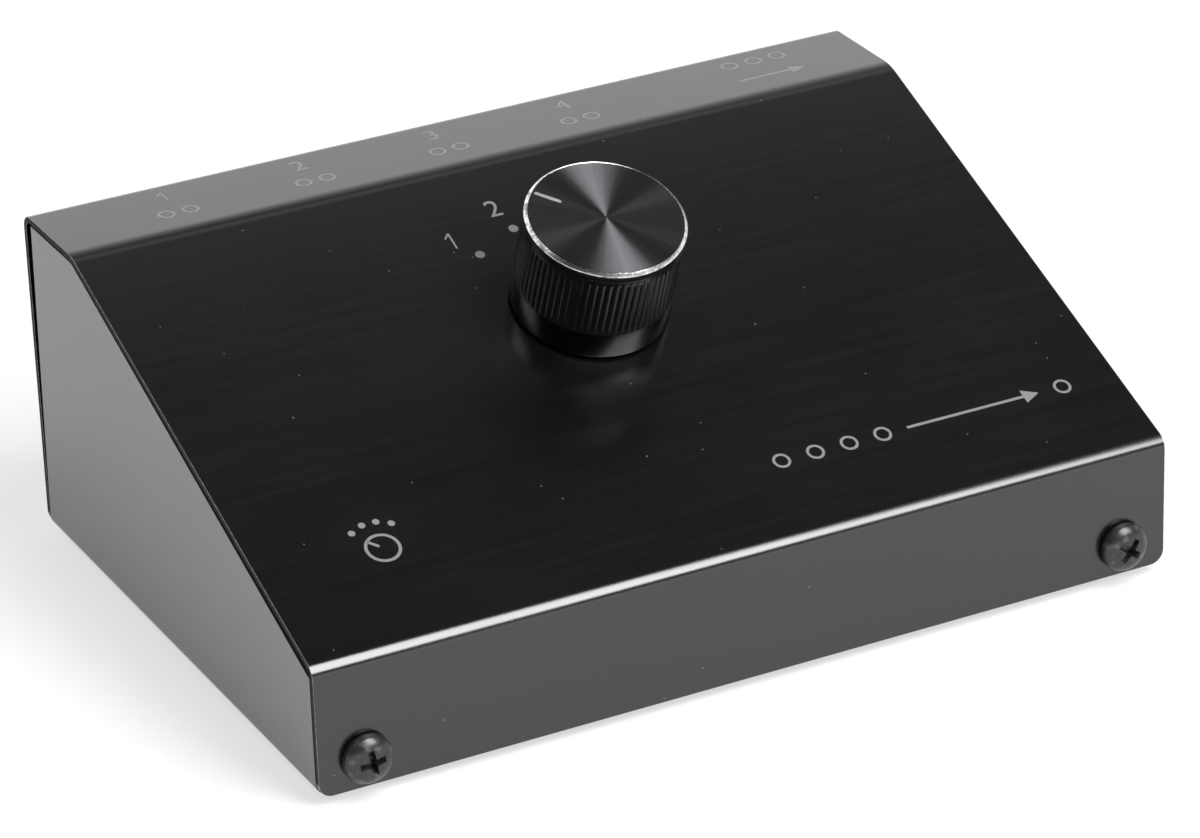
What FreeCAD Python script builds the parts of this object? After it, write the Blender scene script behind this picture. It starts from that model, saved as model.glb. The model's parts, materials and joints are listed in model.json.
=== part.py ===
import FreeCAD, Part
import os

import Sketcher
from FreeCAD import Vector

# Four-way audio selector box, millimetres.
# Frame: X to the right along the front, Y to the rear, Z up.
# Origin under the middle of the whole object, at the underside of the feet.

# Driving dimensions
SIZES = {
    # sheet metal case
    "case_width": 128.0,
    "case_depth": 90.5,
    "case_height": 48.0,
    "front_height": 18.6,
    "strip_depth": 17.0,
    "sheet_thick": 0.8,
    "bend_radius": 2.2,
    "ridge_radius": 8.0,
    "corner_radius": 2.0,
    "base_bend_radius": 1.6,
    "wall_gap": 0.25,
    "slope_gap_front": 1.0,
    "slope_gap_rear": 0.35,
    "rear_gap_top": 1.8,
    "flange_height": 10.0,
    "flange_end_gap": 2.0,
    # case screws
    "screw_inset": 6.8,
    "screw_rise": 4.4,
    "screw_head_radius": 3.5,
    "screw_head_height": 2.5,
    "screw_head_round": 2.2,
    "screw_core_radius": 1.45,
    "screw_length": 8.0,
    "screw_point": 2.0,
    "screw_wall_clearance": 0.5,
    "thread_clearance": 0.05,
    "recess_length": 4.0,
    "recess_width": 0.9,
    "recess_deep": 1.7,
    # rubber feet
    "foot_radius": 5.0,
    "foot_height": 1.5,
    "foot_taper": 0.5,
    "foot_inset_side": 20.0,
    "foot_inset_end": 16.0,
    # phono jacks
    "first_jack_inset": 18.5,
    "jack_pitch": 20.7,
    "output_jack_inset": 16.2,
    "jack_rise": 24.6,
    "jack_pair_pitch": 16.0,
    "jack_reach": 9.0,
    "jack_shell_radius": 4.15,
    "jack_shell_wall": 0.5,
    "jack_shoulder": 0.25,
    "jack_rim_round": 0.15,
    "jack_seat_depth": 4.0,
    "jack_fit": 0.05,
    "jack_hole_clearance": 0.2,
    "collar_wall": 0.5,
    "collar_reach": 0.8,
    "block_width": 10.4,
    "block_end": 5.6,
    "block_depth": 10.0,
    "block_round": 0.8,
    "core_setback": 0.4,
    "core_lip": 0.9,
    "core_mouth_radius": 1.85,
    "contact_radius": 1.62,
    "contact_wall": 0.38,
    "contact_root": 3.0,
    "tail_radius": 0.45,
    "shell_tail_radius": 0.22,
    "tail_clearance": 0.1,
    "tail_stub": 1.2,
    "jack_screw_radius": 1.3,
    "jack_screw_head_radius": 2.75,
    "jack_screw_head_height": 1.6,
    "jack_screw_head_round": 1.2,
    "jack_screw_length": 7.0,
    "jack_screw_clearance": 0.3,
    "jack_recess_length": 3.0,
    "jack_recess_width": 0.7,
    "jack_recess_deep": 1.0,
    # circuit boards and ribbon cable
    "board_thick": 1.6,
    "jack_board_low": 4.0,
    "jack_board_margin": 2.0,
    "jack_board_end": 8.5,
    "header_width": 16.0,
    "header_height": 5.0,
    "header_deep": 6.0,
    "header_round": 0.5,
    "jack_header_rise": 7.5,
    "ribbon_width": 12.7,
    "ribbon_thick": 0.9,
    "ribbon_bend": 4.5,
    "ribbon_straight": 0.3,
    # rotary switch
    "knob_along": 49.0,
    "position_count": 4.0,
    "index_angle": 30.0,
    "bushing_radius": 4.5,
    "bushing_reach": 5.0,
    "bushing_clearance": 0.15,
    "swage_radius": 3.8,
    "swage_clearance": 0.05,
    "shaft_radius": 3.0,
    "shaft_clearance": 0.05,
    "shaft_reach": 12.5,
    "shaft_flat": 1.5,
    "flat_length": 6.5,
    "journal_radius": 2.0,
    "lock_washer_thick": 0.6,
    "lock_washer_radius": 7.0,
    "lock_tooth_deep": 0.9,
    "lock_tooth_width": 1.2,
    "lock_tooth_count": 10.0,
    "flat_washer_thick": 0.5,
    "flat_washer_radius": 6.4,
    "nut_flats": 11.0,
    "nut_thick": 2.0,
    "plate_thick": 1.2,
    "plate_width": 33.0,
    "plate_height": 25.0,
    "plate_round": 3.0,
    "tab_place": 8.6,
    "tab_width": 2.0,
    "tab_thick": 0.9,
    "tab_clearance": 0.2,
    "housing_radius": 12.0,
    "housing_wall": 1.4,
    "housing_depth": 10.0,
    "ear_place": 13.3,
    "ear_radius": 2.9,
    "rivet_radius": 1.4,
    "rivet_head_radius": 2.4,
    "rivet_head_thick": 0.45,
    "rivet_clearance": 0.1,
    "wafer_thick": 1.6,
    "rotor_gap": 0.3,
    "rotor_radius": 10.2,
    "rotor_thick": 5.0,
    "detent_place": 7.0,
    "ball_radius": 1.2,
    "ball_gap": 0.1,
    "ball_clearance": 0.15,
    "dimple_radius": 0.9,
    "dimple_deep": 0.4,
    "spring_wire": 0.3,
    "spring_radius": 0.9,
    "spring_length": 2.1,
    "spring_gap": 0.05,
    "common_place": 4.6,
    "throw_place": 8.4,
    "pad_radius": 0.9,
    "pad_thick": 0.5,
    "common_width": 1.4,
    "wiper_width": 1.5,
    "wiper_thick": 0.3,
    "wiper_gap": 0.15,
    "wiper_overhang": 0.6,
    "terminal_radius": 0.4,
    "terminal_clearance": 0.1,
    "terminal_gap": 3.0,
    "terminal_stub": 1.0,
    "clip_thick": 0.5,
    "clip_radius": 4.2,
    "clip_groove": 0.4,
    "clip_gap": 0.05,
    "clip_open_angle": 70.0,
    "switch_board_width": 32.0,
    "switch_board_height": 25.0,
    # knob
    "knob_radius": 11.2,
    "knob_height": 15.7,
    "knob_gap": 0.5,
    "knob_skin": 0.9,
    "knob_bevel": 0.7,
    "knob_band": 4.2,
    "knob_collar": 2.2,
    "knurl_count": 72.0,
    "knurl_deep": 0.35,
    "knurl_width": 0.62,
    "knob_recess_radius": 8.4,
    "knob_recess_deep": 6.2,
    "knob_fit": 0.05,
    "pointer_inner": 6.5,
    "pointer_outer": 10.35,
    "pointer_width": 0.65,
    "pointer_deep": 0.3,
    "grub_radius": 1.5,
    "grub_clearance": 0.1,
    "grub_length": 4.0,
    "grub_rise": 10.3,
    "grub_socket_flats": 1.5,
    "grub_socket_deep": 1.5,
}

# Places worked out from the driving dimensions
DERIVED = {
    "slope_angle": "atan((Sizes.case_height - Sizes.front_height) / (Sizes.case_depth - Sizes.strip_depth))",
    "slope_rise": "Sizes.sheet_thick / cos(Derived.slope_angle)",
    "ridge_inner": "(Sizes.case_height - Sizes.sheet_thick - Sizes.front_height + Derived.slope_rise)"
                   " / tan(Derived.slope_angle)",
    "front_place": "-(Sizes.case_depth + Sizes.jack_reach - Sizes.screw_head_height) / 2",
    "base_front": "Sizes.sheet_thick + Sizes.wall_gap",
    "base_rear": "Sizes.case_depth - Sizes.sheet_thick - Sizes.wall_gap",
    "knob_y": "Sizes.knob_along * cos(Derived.slope_angle)",
    "knob_z": "Sizes.front_height + Sizes.knob_along * sin(Derived.slope_angle)",
    "plate_top": "-Sizes.sheet_thick - Sizes.lock_washer_thick",
    "plate_bottom": "Derived.plate_top - Sizes.plate_thick",
    "housing_bottom": "Derived.plate_bottom - Sizes.housing_depth",
    "wafer_bottom": "Derived.housing_bottom - Sizes.wafer_thick",
    "switch_board_top": "Derived.wafer_bottom - Sizes.terminal_gap",
    "switch_board_bottom": "Derived.switch_board_top - Sizes.board_thick",
    "header_bottom": "Derived.switch_board_bottom - Sizes.header_deep",
    "rotor_top": "Derived.plate_bottom - Sizes.rotor_gap",
    "rotor_bottom": "Derived.rotor_top - Sizes.rotor_thick",
    "ball_centre": "Derived.plate_bottom - Sizes.ball_gap - Sizes.ball_radius",
    "spring_base": "Derived.ball_centre - Sizes.ball_radius - Sizes.spring_gap - Sizes.spring_length",
    "rest_turn": "Sizes.index_angle * (Sizes.position_count - 1) / 2",
    "bushing_hole": "Sizes.bushing_radius + Sizes.bushing_clearance",
    "wall_inside": "-Sizes.sheet_thick",
    "seat_bottom": "Derived.wall_inside - Sizes.jack_seat_depth",
    "block_back": "Derived.wall_inside - Sizes.block_depth",
    "board_back": "Derived.block_back - Sizes.board_thick",
    "tail_end": "Derived.board_back - Sizes.tail_stub",
    "shell_inner": "Sizes.jack_shell_radius - Sizes.jack_shell_wall",
    "shell_middle": "Sizes.jack_shell_radius - Sizes.jack_shell_wall / 2",
    "shoulder_radius": "Sizes.jack_shell_radius + Sizes.jack_shoulder",
    "collar_bore": "Derived.shoulder_radius + Sizes.jack_fit",
    "collar_outer": "Derived.collar_bore + Sizes.collar_wall",
    "jack_hole": "Derived.collar_outer + Sizes.jack_hole_clearance",
    "contact_outer": "Sizes.contact_radius + Sizes.contact_wall",
    "core_bore": "Derived.contact_outer + Sizes.jack_fit",
    "core_outer": "Derived.shell_inner - Sizes.jack_fit",
    "core_tip": "Sizes.jack_reach - Sizes.core_setback",
    "contact_tip": "Derived.core_tip - Sizes.core_lip - Sizes.jack_fit",
    "contact_back": "Derived.wall_inside - Sizes.contact_root",
    "tail_hole": "Sizes.tail_radius + Sizes.tail_clearance",
    "shell_tail_hole": "Sizes.shell_tail_radius + Sizes.tail_clearance",
    "terminal_hole": "Sizes.terminal_radius + Sizes.terminal_clearance",
    "pad_top": "Derived.housing_bottom + Sizes.pad_thick",
    "wiper_bottom": "Derived.pad_top + Sizes.wiper_gap",
    "knob_top": "Sizes.knob_gap + Sizes.knob_height",
    "skin_inner": "Sizes.knob_radius - Sizes.knob_skin - Sizes.knurl_deep",
    "core_top": "Derived.knob_top - Sizes.knob_skin - Sizes.knob_fit",
    "groove_low": "Sizes.bushing_reach + Sizes.clip_gap",
    "clip_low": "Derived.groove_low + Sizes.clip_gap",
    "ribbon_y": "Derived.knob_y - Derived.header_bottom * sin(Derived.slope_angle)",
    "ribbon_z": "Derived.knob_z + Derived.header_bottom * cos(Derived.slope_angle)",
    "ribbon_leg": "(Derived.ribbon_z - Sizes.jack_header_rise) / cos(Derived.slope_angle)",
    "ribbon_turn": "min(Sizes.ribbon_bend; (Derived.ribbon_leg - Sizes.ribbon_straight)"
                   " / tan(45 deg - Derived.slope_angle / 2) - Sizes.ribbon_thick / 2)",
    "first_jack_place": "Sizes.first_jack_inset - Sizes.case_width / 2",
    "output_jack_place": "Sizes.case_width / 2 - Sizes.output_jack_inset",
}

doc = FreeCAD.newDocument("audio_selector")
sheet = doc.addObject("Spreadsheet::Sheet", "Sizes")
for row, (alias, value) in enumerate(SIZES.items(), start=1):
    sheet.set(f"A{row}", alias.replace("_", " "))
    sheet.set(f"B{row}", str(value))
    sheet.setAlias(f"B{row}", alias)
doc.recompute()

derived = doc.addObject("App::VarSet", "Derived")
for name, expression in DERIVED.items():
    kind = "App::PropertyAngle" if name.endswith("_angle") else "App::PropertyFloat"
    derived.addProperty(kind, name)
    derived.setExpression(name, expression)
    doc.recompute()

subparts = []
ABOUT_X = "vector(1; 0; 0)"
ABOUT_Z = "vector(0; 0; 1)"


def number(expression):
    value = sheet.evalExpression(str(expression))
    return float(getattr(value, "Value", value))


def pose(x="0", y="0", z="0", axis=ABOUT_Z, angle="0"):
    return f"placement(vector({x}; {y}; {z}); rotation({axis}; {angle}))"


def case_pose(x="0", y="0", z="0"):
    return pose(x, f"Derived.front_place + ({y})", f"Sizes.foot_height + ({z})")


def switch_pose():
    spot = ("0", "Derived.front_place + Derived.knob_y", "Sizes.foot_height + Derived.knob_z")
    return pose(*spot, ABOUT_X, "Derived.slope_angle")


def selector_pose():
    return switch_pose() + " * " + pose(axis=ABOUT_Z, angle="Derived.rest_turn")


def jack_pose(place):
    return case_pose(place, "Sizes.case_depth", "Sizes.jack_rise")


def body(label, placement):
    item = doc.addObject("PartDesign::Body", label)
    item.Label = label
    item.setExpression("Placement", placement)
    subparts.append(item)
    return item


def origin_item(owner, role):
    return next(item for item in owner.Origin.OriginFeatures if item.Role == role)


def sketch(owner, plane="XY_Plane", offset=None):
    item = owner.newObject("Sketcher::SketchObject", "Sketch")
    item.AttachmentSupport = (origin_item(owner, plane), [""])
    item.MapMode = "FlatFace"
    if offset:
        item.setExpression("AttachmentOffset", offset)
    return item


def lift(distance):
    return pose(z=distance)


def set_point(item, geometry, point, spot):
    # ties one point of the sketch to a pair of expressions
    for kind, axis, expression in zip(("DistanceX", "DistanceY"), (-2, -1), spot):
        if expression == "0":
            item.addConstraint(Sketcher.Constraint("PointOnObject", geometry, point, axis))
            continue
        value = number(expression)
        index = item.addConstraint(Sketcher.Constraint(kind, -1, 1, geometry, point, value))
        item.setExpression(f"Constraints[{index}]", expression)


def polygon(item, spots):
    first = item.GeometryCount
    values = [Vector(number(across), number(up), 0) for across, up in spots]
    for start, end in zip(values, values[1:] + values[:1]):
        item.addGeometry(Part.LineSegment(start, end), False)
    for index in range(len(spots)):
        after = first + (index + 1) % len(spots)
        item.addConstraint(Sketcher.Constraint("Coincident", first + index, 2, after, 1))
    for index, spot in enumerate(spots):
        set_point(item, first + index, 1, spot)


def rectangle(item, left, right, low, high):
    polygon(item, [(left, low), (right, low), (right, high), (left, high)])


def circle(item, radius, across="0", up="0"):
    centre = Vector(number(across), number(up), 0)
    geometry = item.addGeometry(Part.Circle(centre, Vector(0, 0, 1), number(radius)), False)
    index = item.addConstraint(Sketcher.Constraint("Radius", geometry, number(radius)))
    item.setExpression(f"Constraints[{index}]", radius)
    set_point(item, geometry, 3, (across, up))


def pad(owner, profile, length, reverse=False, both=False):
    item = owner.newObject("PartDesign::Pad", "Pad")
    item.Profile = profile
    item.setExpression("Length", length)
    item.Reversed = reverse
    if both:
        item.SideType = "Symmetric"
    return item


def pocket(owner, profile, length, reverse=False, both=False):
    doc.recompute()
    before = owner.Shape.Volume
    item = owner.newObject("PartDesign::Pocket", "Pocket")
    item.Profile = profile
    item.setExpression("Length", length)
    item.Reversed = reverse
    if both:
        item.SideType = "Symmetric"
    doc.recompute()
    if not owner.Shape.Volume < before:
        raise ValueError(f"a pocket of {owner.Label} cuts nothing")
    return item


def revolve(owner, profile, angle="360"):
    item = owner.newObject("PartDesign::Revolution", "Revolution")
    item.Profile = profile
    item.ReferenceAxis = (profile, ["V_Axis"])
    item.setExpression("Angle", angle)
    return item


def turned(label, placement, spots, plane="XZ_Plane"):
    # a lathe-turned piece: spots are radius and height along the turning axis
    item = body(label, placement)
    profile = sketch(item, plane)
    polygon(profile, spots)
    revolve(item, profile)
    return item


def tube_spots(inner, outer, low, high):
    return [(inner, low), (outer, low), (outer, high), (inner, high)]


def edges(owner, wanted):
    doc.recompute()
    return [f"Edge{index}" for index, edge in enumerate(owner.Tip.Shape.Edges, start=1) if wanted(edge)]


def fillet(owner, radius, wanted):
    names = edges(owner, wanted)
    if not names:
        raise ValueError(f"no edge of {owner.Label} to round")
    before = owner.Tip
    item = owner.newObject("PartDesign::Fillet", "Fillet")
    item.Base = (before, names)
    item.setExpression("Radius", radius)
    return item


def near(first, second):
    return abs(first - second) < 1e-4


def along_x_at(spot):
    y, z = (number(value) for value in spot)

    def wanted(edge):
        box = edge.BoundBox
        flat = near(box.YLength, 0) and near(box.ZLength, 0)
        return flat and near(box.Center.y, y) and near(box.Center.z, z)
    return wanted


def polar(owner, feature, count):
    item = owner.newObject("PartDesign::PolarPattern", "PolarPattern")
    item.Originals = [feature]
    item.Axis = (origin_item(owner, "Z_Axis"), [""])
    item.Angle = 360
    item.setExpression("Occurrences", count)
    owner.Tip = item
    return item


def group(label, master, poses):
    # equal pieces of one kind, each a solid of its own
    links = []
    for placement in poses:
        link = doc.addObject("App::Link", "Copy")
        link.LinkedObject = master
        link.LinkTransform = False
        link.setExpression("Placement", placement)
        links.append(link)
    item = doc.addObject("Part::Compound", label)
    item.Label = label
    item.Links = links
    subparts.append(item)
    return item


def master(label):
    # a piece that only its copies show
    item = doc.addObject("PartDesign::Body", label)
    item.Label = label
    return item


INPUTS = 4
JACK_PLACES = {str(index + 1): f"Derived.first_jack_place + {index} * Sizes.jack_pitch"
               for index in range(INPUTS)}
JACK_PLACES["output"] = "Derived.output_jack_place"
LEFT_RISE = "Sizes.jack_pair_pitch / 2"
RIGHT_RISE = "-Sizes.jack_pair_pitch / 2"
PAIR_RISES = (LEFT_RISE, RIGHT_RISE)
SIDES = ("-", "")


# Sheet metal case

def screw_places():
    return [(f"{side}(Sizes.case_width / 2 - Sizes.screw_inset)", "Sizes.screw_rise") for side in SIDES]


def cover():
    # one sheet bent four times: front wall, slope, top strip and rear wall
    item = body("cover", case_pose())
    profile = sketch(item, "YZ_Plane")
    ridge = "Sizes.case_depth - Sizes.strip_depth"
    inside = "Sizes.case_depth - Sizes.sheet_thick"
    ceiling = "Sizes.case_height - Sizes.sheet_thick"
    front_inner = "Sizes.front_height - Derived.slope_rise + Sizes.sheet_thick * tan(Derived.slope_angle)"
    polygon(profile, [
        ("0", "0"), ("0", "Sizes.front_height"), (ridge, "Sizes.case_height"),
        ("Sizes.case_depth", "Sizes.case_height"), ("Sizes.case_depth", "0"),
        (inside, "0"), (inside, ceiling), ("Derived.ridge_inner", ceiling),
        ("Sizes.sheet_thick", front_inner), ("Sizes.sheet_thick", "0"),
    ])
    pad(item, profile, "Sizes.case_width", both=True)
    for spot, radius in (
        (("0", "Sizes.front_height"), "Sizes.bend_radius"),
        (("Sizes.case_depth", "Sizes.case_height"), "Sizes.bend_radius"),
        ((ridge, "Sizes.case_height"), "Sizes.ridge_radius"),
        (("Sizes.sheet_thick", front_inner), "Sizes.bend_radius - Sizes.sheet_thick"),
        ((inside, ceiling), "Sizes.bend_radius - Sizes.sheet_thick"),
        (("Derived.ridge_inner", ceiling), "Sizes.ridge_radius - Sizes.sheet_thick"),
    ):
        fillet(item, radius, along_x_at(spot))

    def lower_corner(edge):
        box = edge.BoundBox
        across = near(box.XLength, 0) and near(box.ZLength, 0)
        return across and near(box.Center.z, 0) and near(abs(box.Center.x), number("Sizes.case_width / 2"))
    fillet(item, "Sizes.corner_radius", lower_corner)

    reach = "4 * Sizes.sheet_thick"
    screw_hole = "Sizes.screw_core_radius + Sizes.screw_wall_clearance"
    front_holes = sketch(item, "XZ_Plane")
    for across, up in screw_places():
        circle(front_holes, screw_hole, across, up)
    pocket(item, front_holes, reach, both=True)

    rear_holes = sketch(item, "XZ_Plane", lift("-Sizes.case_depth"))
    for across, up in screw_places():
        circle(rear_holes, screw_hole, across, up)
    for place in JACK_PLACES.values():
        for rise in PAIR_RISES:
            circle(rear_holes, "Derived.jack_hole", place, f"Sizes.jack_rise + ({rise})")
        circle(rear_holes, "Sizes.jack_screw_radius + Sizes.jack_screw_clearance", place, "Sizes.jack_rise")
    pocket(item, rear_holes, reach, both=True)

    panel = pose("0", "Derived.knob_y", "Derived.knob_z", ABOUT_X, "Derived.slope_angle")
    switch_hole = sketch(item, "XY_Plane", panel)
    circle(switch_hole, "Derived.bushing_hole")
    half = "(Sizes.tab_width / 2 + Sizes.tab_clearance)"
    deep = "(Sizes.tab_thick / 2 + Sizes.tab_clearance)"
    rectangle(switch_hole, f"-{half}", half, f"Sizes.tab_place - {deep}", f"Sizes.tab_place + {deep}")
    pocket(item, switch_hole, reach, both=True)
    return item


def base():
    # floor and two side panels bent up, with a screw flange at the front and the rear
    item = body("base", case_pose())
    half = "Sizes.case_width / 2"
    inner = "(Sizes.case_width / 2 - Sizes.sheet_thick)"
    channel = sketch(item, "XZ_Plane", lift("-Derived.base_front"))
    polygon(channel, [
        (f"-{half}", "0"), (half, "0"), (half, "Sizes.case_height"), (inner, "Sizes.case_height"),
        (inner, "Sizes.sheet_thick"), (f"-{inner}", "Sizes.sheet_thick"),
        (f"-{inner}", "Sizes.case_height"), (f"-{half}", "Sizes.case_height"),
    ])
    pad(item, channel, "Derived.base_rear - Derived.base_front", reverse=True)

    def bend(across, up):
        def wanted(edge):
            box = edge.BoundBox
            straight = near(box.XLength, 0) and near(box.ZLength, 0)
            return straight and near(abs(box.Center.x), number(across)) and near(box.Center.z, number(up))
        return wanted
    fillet(item, "Sizes.base_bend_radius", bend(half, "0"))
    fillet(item, "Sizes.base_bend_radius - Sizes.sheet_thick", bend(inner, "Sizes.sheet_thick"))

    under = "Sizes.case_height - Sizes.sheet_thick - Sizes.slope_gap_rear"
    front_top = ("Sizes.front_height - Derived.slope_rise + Derived.base_front * tan(Derived.slope_angle)"
                 " - Sizes.slope_gap_front / cos(Derived.slope_angle)")
    trim = sketch(item, "YZ_Plane")
    polygon(trim, [
        ("0", front_top), ("Derived.base_front", front_top), ("Derived.ridge_inner", under),
        ("Sizes.case_depth - Sizes.sheet_thick - Sizes.rear_gap_top", under),
        ("Derived.base_rear", "Sizes.base_bend_radius"), ("Sizes.case_depth", "Sizes.base_bend_radius"),
        ("Sizes.case_depth", "2 * Sizes.case_height"), ("0", "2 * Sizes.case_height"),
    ])
    pocket(item, trim, "2 * Sizes.case_width", both=True)

    reach = f"({inner} - Sizes.flange_end_gap)"
    holes = "Sizes.screw_core_radius + Sizes.thread_clearance"
    for face in ("-Derived.base_front", "-(Derived.base_rear - Sizes.sheet_thick)"):
        flange = sketch(item, "XZ_Plane", lift(face))
        rectangle(flange, f"-{reach}", reach, "0", "Sizes.flange_height")
        pad(item, flange, "Sizes.sheet_thick", reverse=True)
        thread = sketch(item, "XZ_Plane", lift(face))
        for across, up in screw_places():
            circle(thread, holes, across, up)
        pocket(item, thread, "4 * Sizes.sheet_thick", both=True)
    return item


def cross_recess(item, length, width, deep, head):
    slots = sketch(item, "XZ_Plane", lift(head))
    long = f"({length} / 2)"
    thin = f"({width} / 2)"
    polygon(slots, [
        (thin, thin), (long, thin), (long, f"-{thin}"), (thin, f"-{thin}"), (thin, f"-{long}"),
        (f"-{thin}", f"-{long}"), (f"-{thin}", f"-{thin}"), (f"-{long}", f"-{thin}"),
        (f"-{long}", thin), (f"-{thin}", thin), (f"-{thin}", long), (thin, long),
    ])
    pocket(item, slots, deep)


def pan_screw(label, head_radius, head_height, head_round, core, length, point, recess):
    # head toward -Y, seat at the origin, shank along +Y
    item = master(label)
    profile = sketch(item, "XY_Plane")
    polygon(profile, [
        ("0", f"-{head_height}"), (head_radius, f"-{head_height}"), (head_radius, "0"), (core, "0"),
        (core, f"{length} - {point}"), ("0", length),
    ])
    revolve(item, profile)

    def rim(edge):
        box = edge.BoundBox
        return near(box.YLength, 0) and near(box.Center.y, -number(head_height))
    fillet(item, head_round, rim)
    cross_recess(item, *recess, head_height)
    return item


def case_screws():
    screw = pan_screw(
        "case_screw", "Sizes.screw_head_radius", "Sizes.screw_head_height", "Sizes.screw_head_round",
        "Sizes.screw_core_radius", "Sizes.screw_length", "Sizes.screw_point",
        ("Sizes.recess_length", "Sizes.recess_width", "Sizes.recess_deep"))
    turn = pose(axis=ABOUT_Z, angle="180")
    group("case_screws_front", screw, [case_pose(across, "0", up) for across, up in screw_places()])
    group("case_screws_rear", screw,
          [case_pose(across, "Sizes.case_depth", up) + " * " + turn for across, up in screw_places()])


def feet():
    across = "(Sizes.case_width / 2 - Sizes.foot_inset_side)"
    rows = {"front": "Sizes.foot_inset_end", "rear": "Sizes.case_depth - Sizes.foot_inset_end"}
    for row, along in rows.items():
        for side, sign in (("left", "-"), ("right", "")):
            turned(f"foot_{row}_{side}", case_pose(sign + across, along, "-Sizes.foot_height"), [
                ("0", "0"), ("Sizes.foot_radius - Sizes.foot_taper", "0"),
                ("Sizes.foot_radius", "Sizes.foot_height"), ("0", "Sizes.foot_height"),
            ])


# Phono jacks on the rear wall, each pair in one moulded block

def jack_block(name, place):
    item = body(f"jack_block_{name}", jack_pose(place))
    half = "(Sizes.block_width / 2)"
    tall = "(Sizes.jack_pair_pitch / 2 + Sizes.block_end)"
    box = sketch(item, "XZ_Plane", lift("-Derived.wall_inside"))
    rectangle(box, f"-{half}", half, f"-{tall}", tall)
    pad(item, box, "Sizes.block_depth")

    def corner(edge):
        moulded = edge.BoundBox
        return near(moulded.XLength, 0) and near(moulded.ZLength, 0)
    fillet(item, "Sizes.block_round", corner)

    collars = sketch(item, "XZ_Plane", lift("-Derived.wall_inside"))
    for rise in PAIR_RISES:
        circle(collars, "Derived.collar_outer", "0", rise)
    pad(item, collars, "Sizes.sheet_thick + Sizes.collar_reach", reverse=True)

    seats = sketch(item, "XZ_Plane", lift("-Sizes.collar_reach"))
    for rise in PAIR_RISES:
        circle(seats, "Derived.collar_bore", "0", rise)
    pocket(item, seats, "Sizes.collar_reach - Derived.seat_bottom", reverse=True)

    tails = sketch(item, "XZ_Plane", lift("-Derived.block_back"))
    for rise in PAIR_RISES:
        circle(tails, "Derived.tail_hole", "0", rise)
        circle(tails, "Derived.shell_tail_hole", "0", f"{rise} + Derived.shell_middle")
    pocket(item, tails, "2 * Sizes.block_depth", both=True)

    screw = sketch(item, "XZ_Plane", lift("-Derived.wall_inside"))
    circle(screw, "Sizes.jack_screw_radius + Sizes.thread_clearance")
    pocket(item, screw, "Sizes.jack_screw_length", reverse=True)
    return item


def jack_shell():
    # nickel plated outer contact, with a solder tail at its root
    item = master("jack_shell")
    profile = sketch(item, "XY_Plane")
    polygon(profile, [
        ("Derived.shell_inner", "Derived.seat_bottom"), ("Derived.shoulder_radius", "Derived.seat_bottom"),
        ("Derived.shoulder_radius", "Sizes.collar_reach"), ("Sizes.jack_shell_radius", "Sizes.collar_reach"),
        ("Sizes.jack_shell_radius", "Sizes.jack_reach"), ("Derived.shell_inner", "Sizes.jack_reach"),
    ])
    revolve(item, profile)

    def rim(edge):
        box = edge.BoundBox
        return near(box.YLength, 0) and near(box.Center.y, number("Sizes.jack_reach"))
    fillet(item, "Sizes.jack_rim_round", rim)
    tail = sketch(item, "XZ_Plane", lift("-Derived.seat_bottom"))
    circle(tail, "Sizes.shell_tail_radius", "0", "Derived.shell_middle")
    pad(item, tail, "Derived.seat_bottom - Derived.tail_end")
    return item


def jack_core(label, place, rise):
    # insulating sleeve with a lip in front of the centre contact
    item = body(label, jack_pose(place) + " * " + pose(z=rise))
    profile = sketch(item, "XY_Plane")
    lip = "Derived.core_tip - Sizes.core_lip"
    polygon(profile, [
        ("Derived.core_bore", "Derived.seat_bottom"), ("Derived.core_outer", "Derived.seat_bottom"),
        ("Derived.core_outer", "Derived.core_tip"), ("Sizes.core_mouth_radius", "Derived.core_tip"),
        ("Sizes.core_mouth_radius", lip), ("Derived.core_bore", lip),
    ])
    revolve(item, profile)
    return item


def jack_contact():
    # spring sleeve for the plug's pin, closed at the back, with a solder tail
    item = master("jack_contact")
    profile = sketch(item, "XY_Plane")
    floor = "Derived.contact_back + Sizes.contact_wall"
    polygon(profile, [
        ("0", "Derived.tail_end"), ("Sizes.tail_radius", "Derived.tail_end"),
        ("Sizes.tail_radius", "Derived.contact_back"), ("Derived.contact_outer", "Derived.contact_back"),
        ("Derived.contact_outer", "Derived.contact_tip"), ("Sizes.contact_radius", "Derived.contact_tip"),
        ("Sizes.contact_radius", floor), ("0", floor),
    ])
    revolve(item, profile)
    return item


def jacks():
    shell = jack_shell()
    contact = jack_contact()
    for name, place in JACK_PLACES.items():
        jack_block(name, place)
        pair = [jack_pose(place) + " * " + pose(z=rise) for rise in PAIR_RISES]
        group(f"jack_shells_{name}", shell, pair)
        jack_core(f"left_core_{name}", place, LEFT_RISE)
        jack_core(f"right_core_{name}", place, RIGHT_RISE)
        group(f"jack_contacts_{name}", contact, pair)
    screw = pan_screw(
        "jack_screw", "Sizes.jack_screw_head_radius", "Sizes.jack_screw_head_height",
        "Sizes.jack_screw_head_round", "Sizes.jack_screw_radius", "Sizes.jack_screw_length",
        "Sizes.jack_screw_radius",
        ("Sizes.jack_recess_length", "Sizes.jack_recess_width", "Sizes.jack_recess_deep"))
    turn = pose(axis=ABOUT_Z, angle="180")
    group("jack_screws", screw, [jack_pose(place) + " * " + turn for place in JACK_PLACES.values()])


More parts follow.
